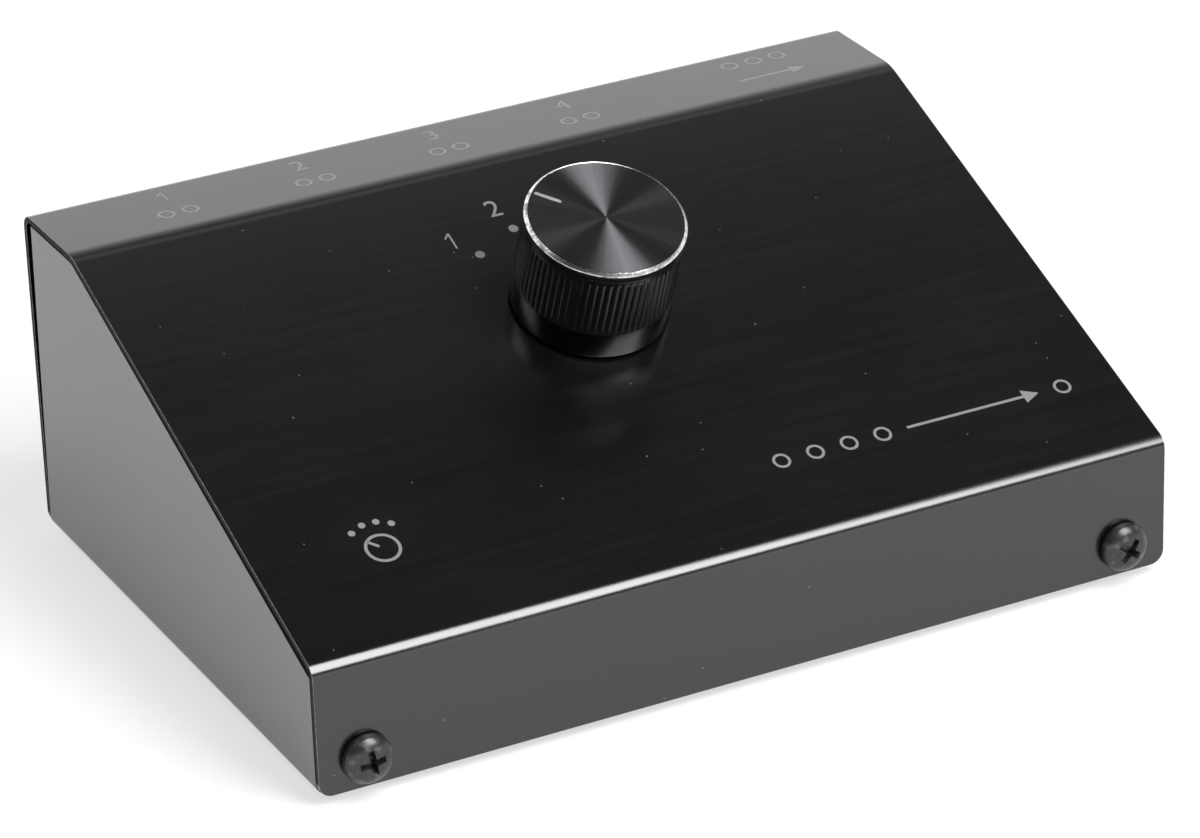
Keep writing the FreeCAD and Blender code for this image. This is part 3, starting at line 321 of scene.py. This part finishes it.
def ribbon(name):
    """Grey flat cable: round wires side by side, painted lighter on each wire's crown and darker in the
    grooves between, as shade.
    """
    finish = material(name)
    across = finish.split(finish.place())[0]
    pitch = 1.27 * MM
    wave = finish.maths("COSINE", across * (2 * math.pi / pitch))
    return finish.surface(
        # Painted shade: darker in the grooves between the wires, lighter on their crowns
        Base_Color=finish.mix(0.5 * wave + 0.5, (0.3, 0.3, 0.31), (0.46, 0.46, 0.47)),
        Roughness=0.5 + 0.05 * wave,
        Normal=finish.bump(wave, 0.1 * MM))


def screw_black(name):
    """Black oxide steel, rubbed a little brighter in spots."""
    finish = material(name)
    place = finish.place()
    worn = finish.noise(place, 700, 4).smooth(0.5, 0.75)
    grain = finish.noise(place, 3500, 2)
    return finish.surface(
        Base_Color=finish.mix(worn, (0.05, 0.05, 0.052), (0.13, 0.13, 0.13)),
        Metallic=0.7,
        Roughness=0.3 + 0.12 * worn + 0.08 * (grain - 0.5),
        Normal=finish.bump(grain, 0.003 * MM))


def anodised(name, colour, rough, relief=0.001, metallic=0.6):
    """Black anodised aluminium."""
    finish = material(name)
    place = finish.place()
    grain = finish.noise(place, 2500, 3)
    cloud = finish.noise(place, 140, 2)
    light = tuple(1.5 * part for part in colour)
    return finish.surface(
        Base_Color=finish.mix(cloud, colour, light),
        Metallic=metallic,
        Roughness=rough + 0.06 * (grain - 0.5) + 0.04 * (cloud - 0.5),
        Specular_IOR_Level=0.35,
        Normal=finish.bump(grain, relief * MM))


def spun_top(name):
    """Spun aluminium, dyed black: rings under the tool, streaks that fan out from the middle."""
    finish = material(name)
    across, up = finish.split(finish.place())[:2]
    radius = finish.maths("SQRT", across * across + up * up)
    angle = finish.maths("ARCTAN2", up, across)
    rings = finish.noise(finish.node("CombineXYZ", inputs={0: radius}), 4200, 2)
    fan = finish.noise(finish.node("CombineXYZ", inputs={0: angle}), 26, 3, 0.6)
    return finish.surface(
        Base_Color=finish.mix(0.2 * rings + 0.8 * fan, (0.03, 0.03, 0.032), (0.15, 0.15, 0.158)),
        Metallic=1.0,
        Anisotropic=1.0,
        Anisotropic_Rotation=0.25,
        Roughness=0.34 + 0.02 * (rings - 0.5) + 0.04 * (fan - 0.5))


def cut_rim(name):
    """Bare aluminium rim, cut with a diamond: bright, with tiny facets."""
    finish = material(name)
    place = finish.place()
    facets = finish.noise(place, 3800, 2, 0.7)
    dull = finish.noise(place, 900, 3).smooth(0.45, 0.7)
    return finish.surface(
        Base_Color=finish.mix(dull, (0.75, 0.75, 0.76), (0.2, 0.2, 0.205)),
        Metallic=1.0,
        Roughness=0.2 + 0.15 * dull,
        Normal=finish.bump(facets, 0.03 * MM))


def print_ink(name, colour):
    """Screen-printed ink, a little uneven."""
    finish = material(name)
    thin = finish.noise(finish.place(), 2600, 2)
    return finish.surface(
        Base_Color=finish.mix(thin, tuple(0.8 * part for part in colour), colour),
        Roughness=0.45 + 0.1 * thin,
        Normal=finish.bump(thin, 0.002 * MM))


FINISHES = {
    "black_paint": enamel(
        "case_enamel", (0.0013, 0.0013, 0.0012), (0.0032, 0.0032, 0.003), rough=0.22, specular=0.9),
    "black_paint_side": enamel(
        "side_enamel", (0.02, 0.02, 0.0192), (0.03, 0.0296, 0.028), rough=0.38, specular=1.0, coat=0.45),
    "black_screw": screw_black("black_oxide_screw"),
    "rubber_foot": rubber("foot_rubber"),
    "jack_plastic": plastic("jack_block_black", (0.02, 0.02, 0.021), rough=0.45),
    "nickel": metal("nickel_plate", (0.72, 0.69, 0.63), rough=0.2),
    "white_insulator": plastic("socket_white", (0.75, 0.74, 0.7), rough=0.35),
    "red_insulator": plastic("socket_red", (0.55, 0.02, 0.018), rough=0.35),
    "tinned_brass": metal("tinned_contact", (0.7, 0.68, 0.62), rough=0.3),
    "circuit_board": board_laminate("paper_laminate"),
    "header_plastic": plastic("header_white", (0.6, 0.58, 0.52), rough=0.5),
    "grey_ribbon": ribbon("ribbon_grey"),
    "zinc_steel": metal("zinc_plate", (0.6, 0.6, 0.58), rough=0.35, stain=0.35),
    "switch_plastic": plastic("switch_body_black", (0.025, 0.024, 0.024), rough=0.5),
    "phenolic": plastic("phenolic_brown", (0.16, 0.06, 0.022), rough=0.55),
    "aluminium_shaft": metal("turned_aluminium", (0.75, 0.75, 0.76), rough=0.3, stain=0.2, grain_size=0.3),
    "spring_steel": metal("spring_steel", (0.45, 0.45, 0.46), rough=0.3),
    "phosphor_bronze": metal("phosphor_bronze", (0.72, 0.45, 0.22), rough=0.3),
    "knob_black": anodised("knob_anodised", (0.012, 0.0125, 0.013), rough=0.16),
    "knob_plastic": plastic("knob_insert", (0.015, 0.015, 0.016), rough=0.5),
    "white_mark": print_ink("panel_print", (0.2, 0.2, 0.204)),
}
SHEARED_EDGE = raw_edge("sheared_edge")
# The eased sheet corners' finish: a painted highlight, lighter than the enamel
PAINTED_EDGE_HIGHLIGHT = painted_edge_highlight("painted_edge_highlight")
SPUN_TOP = spun_top("knob_spun_top")
CUT_RIM = cut_rim("knob_cut_rim")
FOOT_BAND = anodised("knob_foot_band", (0.06, 0.0615, 0.063), rough=0.14, relief=0.0005, metallic=1.0)
POINTER_WHITE = print_ink("pointer_white", (0.26, 0.26, 0.264))


def node_slots():
    """The material slot of each node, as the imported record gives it."""
    return {item["node"]: item["material_slot"] for item in frame["record"]["subparts"]}


def add_piece(name, mesh, body, slot, finishes=None, at=None):
    """An object of the part, in place, riding on its body."""
    piece = bpy.data.objects.new(name, mesh)
    bpy.context.scene.collection.objects.link(piece)
    for finish in finishes or [FINISHES[slot]]:
        mesh.materials.append(finish)
    if at is not None:
        piece.matrix_world = at
    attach(piece, body)
    return piece


def finish_mesh(work, name, sharp_angle=35):
    """A mesh from a bmesh, shaded smooth except over sharp edges."""
    mesh = bpy.data.meshes.new(name)
    work.to_mesh(mesh)
    work.free()
    for face in mesh.polygons:
        face.use_smooth = True
    mesh.set_sharp_from_angle(angle=math.radians(sharp_angle))
    return mesh


def eased_copy(node, ease):
    """The node's mesh with its flat faces joined and its sharp edges rounded over by ease."""
    weld = 1e-4 * MM
    flat_within = math.radians(0.3)
    sharp_over = math.radians(50)
    work = bmesh.new()
    work.from_mesh(nodes[node].data)
    bmesh.ops.remove_doubles(work, verts=work.verts, dist=weld)
    bmesh.ops.dissolve_limit(work, angle_limit=flat_within, verts=work.verts, edges=work.edges)
    sharp = [edge for edge in work.edges
             if len(edge.link_faces) == 2 and edge.calc_face_angle(0) > sharp_over]
    bmesh.ops.bevel(work, geom=sharp, offset=ease * MM, offset_type="OFFSET", segments=2, profile=0.5,
                    affect="EDGES", clamp_overlap=True)
    return work


def lathe(spots, segments, radius_at=None):
    """A closed solid of revolution about Z. spots run (radius, height); radius_at may bend a radius."""
    work = bmesh.new()
    rows = []
    for radius, height in spots:
        if radius == 0:
            rows.append([work.verts.new((0, 0, height * MM))])
            continue
        row = []
        for index in range(segments):
            angle = 2 * math.pi * index / segments
            reach = radius_at(radius, height, angle) if radius_at else radius
            spot = (reach * math.cos(angle) * MM, reach * math.sin(angle) * MM, height * MM)
            row.append(work.verts.new(spot))
        rows.append(row)
    for first, second in zip(rows, rows[1:]):
        for index in range(segments):
            after = (index + 1) % segments
            if len(first) == 1 and len(second) == 1:
                continue
            if len(first) == 1:
                work.faces.new((first[0], second[index], second[after]))
            elif len(second) == 1:
                work.faces.new((first[index], second[0], first[after]))
            else:
                work.faces.new((first[index], second[index], second[after], first[after]))
    bmesh.ops.recalc_face_normals(work, faces=work.faces)
    return work


def arc(centre, radius, start, end, steps):
    """Points on an arc about centre; angles in degrees from the first axis."""
    turns = [math.radians(start + (end - start) * step / steps) for step in range(steps + 1)]
    return [(centre[0] + radius * math.cos(turn), centre[1] + radius * math.sin(turn)) for turn in turns]


def close_prism(work, lower, upper):
    """Faces on two rings of corners and between them."""
    work.faces.new(upper)
    work.faces.new(list(reversed(lower)))
    for index in range(len(upper)):
        after = (index + 1) % len(upper)
        work.faces.new((lower[index], lower[after], upper[after], upper[index]))


def cut_away(work, cutter):
    """work with cutter's volume taken out, both closed meshes."""
    whole = bpy.data.objects.new("whole", bpy.data.meshes.new("whole"))
    tool = bpy.data.objects.new("tool", bpy.data.meshes.new("tool"))
    work.to_mesh(whole.data)
    cutter.to_mesh(tool.data)
    for item in (whole, tool):
        bpy.context.scene.collection.objects.link(item)
    carve = whole.modifiers.new("carve", "BOOLEAN")
    carve.operation = "DIFFERENCE"
    carve.solver = "EXACT"
    carve.object = tool
    graph = bpy.context.evaluated_depsgraph_get()
    carved = bpy.data.meshes.new_from_object(whole.evaluated_get(graph))
    for item in (whole, tool):
        bpy.data.objects.remove(item)
    result = bmesh.new()
    result.from_mesh(carved)
    work.free()
    cutter.free()
    return result


def weigh(piece):
    """Keeps the flat faces flat beside their rounded edges."""
    normals = piece.modifiers.new("weighted", "WEIGHTED_NORMAL")
    normals.keep_sharp = True


def sheet_skins():
    """Cover and base with the eased edges of cut and bent sheet; the cover's side edges stay dull."""
    work = eased_copy("cover", COVER_EASE)
    side = CASE_HIGH.x - 0.02 * MM
    worn = side - EDGE_HIGHLIGHT_WIDTH * MM
    for face in work.faces:
        lean = abs(face.normal.x)
        reach = abs(face.calc_center_median().x)
        if lean > 0.999 and reach > side:
            face.material_index = 1
        # Eased corners by the sides take the painted edge highlight
        elif 0.2 < lean < 0.98 and reach > worn:
            face.material_index = 2
    cover = add_piece("cover_skin", finish_mesh(work, "cover_skin"), "case", "black_paint",
                      [FINISHES["black_paint"], SHEARED_EDGE, PAINTED_EDGE_HIGHLIGHT])
    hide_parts("cover")
    weigh(cover)
    mesh = finish_mesh(eased_copy("base", BASE_EASE), "base_skin")
    base = add_piece("base_skin", mesh, "case", "black_paint_side")
    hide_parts("base")
    weigh(base)


def cross_cutter(length, width, deep, height):
    """The tapered cross of a screwdriver's tip, pointing down from height."""
    work = bmesh.new()

    def ring(reach, half, level):
        arms = []
        for quarter in range(4):
            turn = Matrix.Rotation(math.radians(90 * quarter), 3, "Z")
            corners = [(reach, -half, level), (reach, half, level), (half, half, level)]
            arms += [turn @ Vector(spot) for spot in corners]
        return [work.verts.new(spot * MM) for spot in arms]

    upper = ring(0.56 * length, 0.55 * width, height + 0.4)
    lower = ring(0.24 * length, 0.36 * width, height - deep)
    close_prism(work, lower, upper)
    return work


def pan_screw(name, head_radius, head_height, edge, recess, shank_radius, shank_length):
    """A pan head with a domed top, a rolled edge, a flat seat and a carved cross recess.

    recess gives the cross's length, width and depth.
    """
    flank = 0.32 * head_height
    point = 0.8
    steps = 10
    turns = [math.radians(90 * step / steps) for step in range(steps)]
    outline = [(0, -shank_length), (0.6 * shank_radius, -shank_length), (shank_radius, point - shank_length),
               (shank_radius, 0), (head_radius - edge, 0)]
    outline += arc((head_radius - edge, edge), edge, -90, 0, 4)[1:]
    outline += [(head_radius * math.cos(turn), flank + (head_height - flank) * math.sin(turn))
                for turn in turns]
    outline += [(0, head_height)]
    length, width, deep = recess
    head = cut_away(lathe(outline, 64), cross_cutter(length, width, deep, head_height))
    return finish_mesh(head, name, 30)


def square_to(place, direction, turn=0.0):
    """A matrix at place whose Z looks along direction, turned about it."""
    look = direction.to_track_quat("Z", "Y").to_matrix().to_4x4()
    return Matrix.Translation(place) @ look @ Matrix.Rotation(math.radians(turn), 4, "Z")


def case_screws():
    """Two screws in the front wall and two in the rear wall, each turned its own way."""
    head_radius = 3.5
    turns = {("front", "left"): 8, ("front", "right"): 52, ("rear", "left"): 24, ("rear", "right"): 71}
    for wall, outward in (("front", Vector((0, -1, 0))), ("rear", Vector((0, 1, 0)))):
        low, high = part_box(f"case_screws_{wall}")
        wall_face = CASE_LOW.y if wall == "front" else CASE_HIGH.y
        head_height = abs((low.y if wall == "front" else high.y) - wall_face) / MM
        for side, across in (("left", low.x + head_radius * MM), ("right", high.x - head_radius * MM)):
            name = f"{wall}_screw_{side}"
            mesh = pan_screw(name, head_radius, head_height, edge=0.45, recess=(4.0, 0.95, 1.7),
                             shank_radius=1.45, shank_length=6.5)
            place = Vector((across, wall_face, (low.z + high.z) / 2))
            at = square_to(place, outward, turns[wall, side])
            screw = add_piece(name, mesh, "case", "black_screw", at=at)
            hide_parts(f"case_screws_{wall}")


def jack_screws():
    """One small black screw between the two sockets of each pair."""
    low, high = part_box("jack_screws")
    head_radius = 2.75
    head_height = (high.y - CASE_HIGH.y) / MM
    turn_step = 17
    for index, label in enumerate([*INPUTS, "output"]):
        block_low, block_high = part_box(f"jack_block_{label}")
        name = f"jack_screw_{label}"
        mesh = pan_screw(name, head_radius, head_height, edge=0.35, recess=(3.0, 0.7, 1.0),
                         shank_radius=1.3, shank_length=5.0)
        place = Vector(((block_low.x + block_high.x) / 2, CASE_HIGH.y, (low.z + high.z) / 2))
        at = square_to(place, Vector((0, 1, 0)), turn_step * index)
        screw = add_piece(name, mesh, "case", "black_screw", at=at)
        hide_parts("jack_screws")


def knob_skin():
    """Diamond-cut rim, plain collar, knurled grip and smooth foot band, hollow inside.

    Its mesh is turned onto the panel in world axes, and its object sits at the origin.
    """
    knurl_low = KNOB_LOW + KNOB_BAND
    knurl_high = KNOB_TOP - KNOB_COLLAR
    groove_middle = KNOB_TOP - RIM_GROOVE_DROP
    groove_floor = KNOB_RADIUS - RIM_GROOVE_DEEP

    def knurl(radius, height, angle):
        if radius < KNOB_RADIUS - 0.01 or not knurl_low < height < knurl_high:
            return radius
        fade = min(1, (height - knurl_low) / KNURL_FADE, (knurl_high - height) / 0.3)
        groove = (0.5 + 0.5 * math.cos(KNURL_COUNT * angle)) ** 1.5
        return radius - KNURL_DEEP * groove * max(0, fade)

    inner = KNOB_RADIUS - KNOB_WALL
    rim_start = KNOB_RADIUS - KNOB_BEVEL
    under = KNOB_TOP - DISC_SINK
    roof = KNOB_TOP - KNOB_ROOF
    rim = [(0, under), (0.5 * KNOB_RADIUS, under), (rim_start - RIM_GAP, under),
           (rim_start - 0.1, KNOB_TOP - 0.07), (rim_start, KNOB_TOP - 0.02),
           (KNOB_RADIUS - 0.06, KNOB_TOP - KNOB_BEVEL + 0.06),
           (KNOB_RADIUS, KNOB_TOP - KNOB_BEVEL - 0.05)]
    collar = [(KNOB_RADIUS, groove_middle + 0.12), (groove_floor, groove_middle + 0.05),
              (groove_floor, groove_middle - 0.05), (KNOB_RADIUS, groove_middle - 0.12)]
    grip = [(KNOB_RADIUS, knurl_high - 0.15 * step) for step in (0, 1, 2)]
    grip += [(KNOB_RADIUS, knurl_low + KNURL_FADE * step / 4) for step in (4, 3, 2, 1, 0)]
    band = [(KNOB_RADIUS, knurl_low - 0.1), (KNOB_RADIUS, KNOB_LOW + 0.2),
            (KNOB_RADIUS - 0.06, KNOB_LOW + 0.06), (KNOB_RADIUS - 0.2, KNOB_LOW)]
    hollow = [(inner, KNOB_LOW), (inner, roof), (0, roof)]
    work = lathe(rim + collar + grip + band + hollow, 8 * KNURL_COUNT, knurl)
    work = cut_away(work, slot_cutter())
    work = cut_away(work, grub_cutter())
    turn_to_rest(work)
    for face in work.faces:
        middle = face.calc_center_median()
        reach = math.hypot(middle.x, middle.y) / MM
        rise = middle.z / MM
        if rise > KNOB_TOP - KNOB_BEVEL - 0.02 and reach > rim_start - RIM_GAP:
            face.material_index = 1
        elif rise < knurl_low and reach > inner:
            face.material_index = 2
    bmesh.ops.transform(work, matrix=PANEL, verts=work.verts)
    mesh = finish_mesh(work, "knob_skin", 30)
    finishes = [FINISHES["knob_black"], CUT_RIM, FOOT_BAND]
    skin = add_piece("knob_skin", mesh, "selector", "knob_black", finishes)
    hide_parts("knob_shell")


def knob_top():
    """The spun face inside the rim, with the pointer's groove. Its streaks fan out about its own axis."""
    reach = KNOB_RADIUS - KNOB_BEVEL - RIM_GAP
    under = KNOB_TOP - DISC_SINK - DISC_SKIRT
    outline = [(0, KNOB_TOP), (0.5 * reach, KNOB_TOP), (reach, KNOB_TOP), (reach, under), (0, under)]
    work = cut_away(lathe(outline, 360), slot_cutter())
    turn_to_rest(work)
    mesh = finish_mesh(work, "knob_top", 30)
    top = add_piece("knob_top", mesh, "selector", "knob_black", [SPUN_TOP], at=PANEL)
    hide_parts("knob_shell")


def turn_to_rest(work):
    """The knob's parts are drawn with the pointer up the slope, and stored at the first stop."""
    bmesh.ops.rotate(work, verts=work.verts, matrix=Matrix.Rotation(REST_TURN, 3, "Z"))


def slot_shape(inner, outer, width, low, high):
    """A bar with round ends along +Y, between two heights."""
    half = width / 2
    outline = arc((0, outer - half), half, 0, 180, 12) + arc((0, inner + half), half, 180, 360, 12)
    work = bmesh.new()
    lower, upper = [[work.verts.new((x * MM, y * MM, level * MM)) for x, y in outline]
                    for level in (low, high)]
    close_prism(work, lower, upper)
    return work


def slot_cutter():
    """What the pointer's groove takes away, open at the top."""
    over = 1
    return slot_shape(POINTER_INNER, POINTER_OUTER, POINTER_WIDTH, KNOB_TOP - POINTER_DEEP, KNOB_TOP + over)


def grub_cutter():
    """The grub screw's hole, in the side under the pointer."""
    work = bmesh.new()
    bmesh.ops.create_cone(work, cap_ends=True, segments=32, radius1=GRUB_RADIUS * MM,
                          radius2=GRUB_RADIUS * MM, depth=GRUB_DEEP * MM)
    bmesh.ops.rotate(work, verts=work.verts, matrix=Matrix.Rotation(math.radians(90), 3, "X"))
    bmesh.ops.translate(work, verts=work.verts, vec=Vector((0, KNOB_RADIUS, GRUB_RISE)) * MM)
    return work


def pointer_fill():
    """White paint in the pointer's groove, a hair below the top."""
    gap = 0.03
    hair = 0.01
    work = slot_shape(POINTER_INNER + gap, POINTER_OUTER - gap, POINTER_WIDTH - 2 * gap,
                      KNOB_TOP - POINTER_DEEP + hair, KNOB_TOP - hair)
    upper = (KNOB_TOP - 2 * hair) * MM
    top = [edge for edge in work.edges if all(end.co.z > upper for end in edge.verts)]
    bmesh.ops.bevel(work, geom=top, offset=0.06 * MM, segments=2, profile=0.5, affect="EDGES")
    turn_to_rest(work)
    mesh = finish_mesh(work, "pointer_fill", 40)
    fill = add_piece("pointer_fill", mesh, "selector", "white_mark", [POINTER_WHITE], at=PANEL)
    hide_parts("knob_pointer")


def numeral_mesh(text, height):
    """A numeral as a thin raised shape, centred, of that height."""
    if text == "1":
        top = height / 2
        left = 0.2
        right = 0.5
        stem = [(left, -top), (right, -top), (right, top), (left, top)]
        flag = [(-0.55, top - 0.85), (-0.45, top - 1.1), (left, top - 0.4), (left, top)]
        return bars_mesh([stem, flag])
    letters = bpy.data.curves.new("numeral", "FONT")
    letters.body = text
    letters.align_x = "CENTER"
    letters.extrude = PRINT_THICK / 2 * MM
    holder = bpy.data.objects.new("numeral", letters)
    bpy.context.scene.collection.objects.link(holder)
    graph = bpy.context.evaluated_depsgraph_get()
    mesh = bpy.data.meshes.new_from_object(holder.evaluated_get(graph))
    bpy.data.objects.remove(holder)
    xs = [vertex.co.x for vertex in mesh.vertices]
    ys = [vertex.co.y for vertex in mesh.vertices]
    scale = height * MM / (max(ys) - min(ys))
    middle = Vector(((max(xs) + min(xs)) / 2, (max(ys) + min(ys)) / 2, 0))
    for vertex in mesh.vertices:
        flat = (vertex.co - middle) * scale
        vertex.co = Vector((flat.x, flat.y, vertex.co.z))
    return mesh


def disc_mesh(spots):
    """Thin printed dots and rings: each spot is (x, y, outer radius, inner radius)."""
    work = bmesh.new()
    steps = 40
    turns = [2 * math.pi * step / steps for step in range(steps)]
    for x, y, outer, inner in spots:
        rows = []
        for radius, height in ((outer, 0), (outer, PRINT_THICK), (inner, PRINT_THICK), (inner, 0)):
            if radius == 0:
                rows.append([work.verts.new((x * MM, y * MM, height * MM))] * steps)
                continue
            rows.append([work.verts.new(((x + radius * math.cos(turn)) * MM,
                                         (y + radius * math.sin(turn)) * MM, height * MM))
                         for turn in turns])
        pairs = list(zip(rows, rows[1:] + rows[:1]))
        if not inner:
            # A dot has no inner wall, from the third row to the last
            del pairs[2]
        for first, second in pairs:
            for index in range(steps):
                after = (index + 1) % steps
                corners = []
                for corner in (first[index], first[after], second[after], second[index]):
                    if corner not in corners:
                        corners.append(corner)
                work.faces.new(corners)
    bmesh.ops.recalc_face_normals(work, faces=work.faces)
    return finish_mesh(work, "dots")


def bars_mesh(bars):
    """Thin printed polygons: each bar is a list of (x, y) corners."""
    work = bmesh.new()
    for corners in bars:
        lower, upper = [[work.verts.new((x * MM, y * MM, level * MM)) for x, y in corners]
                        for level in (0, PRINT_THICK)]
        close_prism(work, lower, upper)
    return finish_mesh(work, "bars")


def printed(name, mesh, at):
    return add_piece(name, mesh, "case", "white_mark", at=at)


def on_panel(across, along):
    """A place on the sloping panel, from the knob's axis."""
    return PANEL @ Matrix.Translation(Vector((across, along, 0)) * MM)


def on_strip(across, from_rear):
    """A place on the flat top strip."""
    return Matrix.Translation((across * MM, CASE_HIGH.y - from_rear * MM, CASE_HIGH.z))


def dial_marks():
    """A dot and a plain number for each of the knob's four stops, set closer than the stops."""
    for index, turn in enumerate(DIAL_TURNS):
        name = f"dial_{index + 1}"
        dot = disc_mesh([(0, 0, DOT_RADIUS, 0)])
        printed(name + "_dot", dot, on_panel(DOT_PLACE * math.sin(turn), DOT_PLACE * math.cos(turn)))
        printed(name + "_number", numeral_mesh(str(index + 1), NUMERAL_HEIGHT),
                on_panel(NUMERAL_PLACE * math.sin(turn), NUMERAL_PLACE * math.cos(turn)))


def ring_row(count, pitch, outer, stroke):
    return [((index - (count - 1) / 2) * pitch, 0, outer, outer - stroke) for index in range(count)]


def arrow(tail, tip, width, head):
    """The shaft and the head of a straight arrow along X."""
    half = width / 2
    wing = head / 2
    neck = tip - head
    return [[(tail, -half), (neck, -half), (neck, half), (tail, half)],
            [(neck, -wing), (tip, 0), (neck, wing)]]


def strip_marks():
    """Over each pair of sockets its number and a twin-socket sign; over the last pair an arrow out."""
    number_from_rear = 5.4
    sign_from_rear = 11.1
    for label in INPUTS:
        low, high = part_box(f"jack_block_{label}")
        across = (low.x + high.x) / 2 / MM
        number = numeral_mesh(label, NUMERAL_HEIGHT)
        twin = disc_mesh(ring_row(2, pitch=3.6, outer=1.25, stroke=0.38))
        printed(f"input_{label}_number", number, on_strip(across, number_from_rear))
        printed(f"input_{label}_sign", twin, on_strip(across, sign_from_rear))
    low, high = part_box("jack_block_output")
    across = (low.x + high.x) / 2 / MM
    three = disc_mesh(ring_row(3, pitch=3.9, outer=1.35, stroke=0.4))
    out = bars_mesh(arrow(tail=-5.4, tip=5.4, width=0.5, head=2.4))
    printed("output_sign", three, on_strip(across, number_from_rear))
    printed("output_arrow", out, on_strip(across, sign_from_rear))


def route_sign():
    """Where a title could stand: four rings, an arrow and one ring, four sources to one output."""
    place = on_panel(33.4, -35.4)
    end = 22.0
    pitch = 5.2
    outer = 1.3
    inner = 0.9
    sources = [(pitch * index - end, 0, outer, inner) for index in range(len(INPUTS))]
    printed("route_rings", disc_mesh([*sources, (end, 0, outer, inner)]), place)
    printed("route_arrow", bars_mesh(arrow(tail=-2.6, tip=18.2, width=0.45, head=2.4)), place)


def turn_sign():
    """A small sign of a turning knob: a ring with a pointer and four dots over it."""
    across = -46.3
    along = -31.4
    drop = 1.0
    ring = (0, -drop, 2.5, 2.05)
    dot_place = 4.6
    dot_radius = 0.5
    dots = [(dot_place * math.sin(turn), dot_place * math.cos(turn) - drop, dot_radius, 0)
            for turn in DIAL_TURNS]
    printed("turn_ring", disc_mesh([ring, *dots]), on_panel(across, along))
    half = 0.22
    tail = 0.5
    tip = 2.2
    pointer = bars_mesh([[(-half, tail), (half, tail), (half, tip), (-half, tip)]])
    printed("turn_pointer", pointer, on_panel(across, along - drop) @ Matrix.Rotation(REST_TURN, 4, "Z"))


def dress_nodes():
    """Every CAD node that still shows takes the finish of its slot."""
    for node, slot in node_slots().items():
        mesh = nodes[node].data
        mesh.materials.clear()
        mesh.materials.append(FINISHES[slot])


def floor_finish():
    """Pale floor; the eye and shiny surfaces see it nearer to white, with the shadow kept."""
    finish = material("floor_pale")
    path = finish.node("LightPath").socket.node
    seen = 0.6 * Number(finish, path.outputs["Is Camera Ray"])
    for ray in ("Is Glossy Ray", "Is Transmission Ray"):
        seen = finish.maths("MAXIMUM", seen, 0.42 * Number(finish, path.outputs[ray]))
    plain = finish.node("BsdfDiffuse", inputs={"Color": (0.86, 0.86, 0.86)})
    white = finish.node("Emission", inputs={"Color": (1, 1, 1), "Strength": 1.0})
    return finish.ends_in(finish.node("MixShader", inputs={0: seen, 1: plain, 2: white}))


def floor():
    """A plain pale floor under the feet."""
    half = 6.0
    work = bmesh.new()
    bmesh.ops.create_grid(work, x_segments=4, y_segments=4, size=half)
    mesh = bpy.data.meshes.new("floor")
    work.to_mesh(mesh)
    work.free()
    mesh.materials.append(floor_finish())
    plane = bpy.data.objects.new("floor", mesh)
    bpy.context.scene.collection.objects.link(plane)


def world():
    """Pale all round near the horizon, pale and higher behind the object, dim overhead and in front."""
    finish = Finish(bpy.data.worlds.new("studio"), "World")
    deep, up = finish.split(finish.place("Generated"))[1:]
    low_ring = 1 - up.smooth(0.1, 0.16)
    back_wall = deep.smooth(-0.15, 0.35) * (1 - up.smooth(0.36, 0.8))
    pale = finish.maths("MAXIMUM", low_ring, back_wall)
    shade = finish.node("Background", inputs={"Color": (1, 1, 1), "Strength": 0.03 + 1.5 * pale})
    bpy.context.scene.world = finish.ends_in(shade)


def softbox(name, azimuth, elevation, distance, width, height, radiance):
    """A plain rectangular lamp that looks at the object. Azimuth is from -Y towards +X."""
    turn = math.radians(azimuth)
    rise = math.radians(elevation)
    away = Vector((math.sin(turn) * math.cos(rise), -math.cos(turn) * math.cos(rise), math.sin(rise)))
    lamp = bpy.data.lights.new(name, "AREA")
    lamp.shape = "RECTANGLE"
    lamp.size = width
    lamp.size_y = height
    lamp.energy = radiance * math.pi * width * height
    holder = bpy.data.objects.new(name, lamp)
    bpy.context.scene.collection.objects.link(holder)
    middle = (CASE_LOW + CASE_HIGH) / 2
    holder.matrix_world = square_to(middle + away * distance, away)
    holder.visible_camera = False


def lamps():
    softbox("key_softbox", 25, 48, distance=1.3, width=0.64, height=1.1, radiance=12.5)
    softbox("left_softbox", -102, 53, distance=0.55, width=0.2, height=0.2, radiance=4.5)
    softbox("rear_card", 180, 61, distance=0.63, width=1.3, height=0.12, radiance=0.55)
    softbox("right_softbox", 90, 41, distance=1.3, width=0.3, height=0.4, radiance=1.5)


def camera():
    """The photograph's view: a long lens, from the front left and above."""
    place = Vector((-308.12, -615.46, 355.67)) * MM
    aim = Vector((-14.16, -33.09, 36.69)) * MM
    roll = math.radians(-1.949)
    data = bpy.data.cameras.new("photo_view")
    data.lens = 166.01
    data.sensor_width = 36
    data.clip_end = 20
    holder = bpy.data.objects.new("photo_view", data)
    bpy.context.scene.collection.objects.link(holder)
    look = (aim - place).to_track_quat("-Z", "Y").to_matrix().to_4x4()
    holder.matrix_world = Matrix.Translation(place) @ look @ Matrix.Rotation(roll, 4, "Z")
    bpy.context.scene.camera = holder


def studio():
    bpy.context.scene.view_settings.view_transform = "Standard"
    camera()
    floor()
    world()
    lamps()


studio()
dress_nodes()
sheet_skins()
case_screws()
jack_screws()
knob_skin()
knob_top()
pointer_fill()
dial_marks()
strip_marks()
route_sign()
turn_sign()
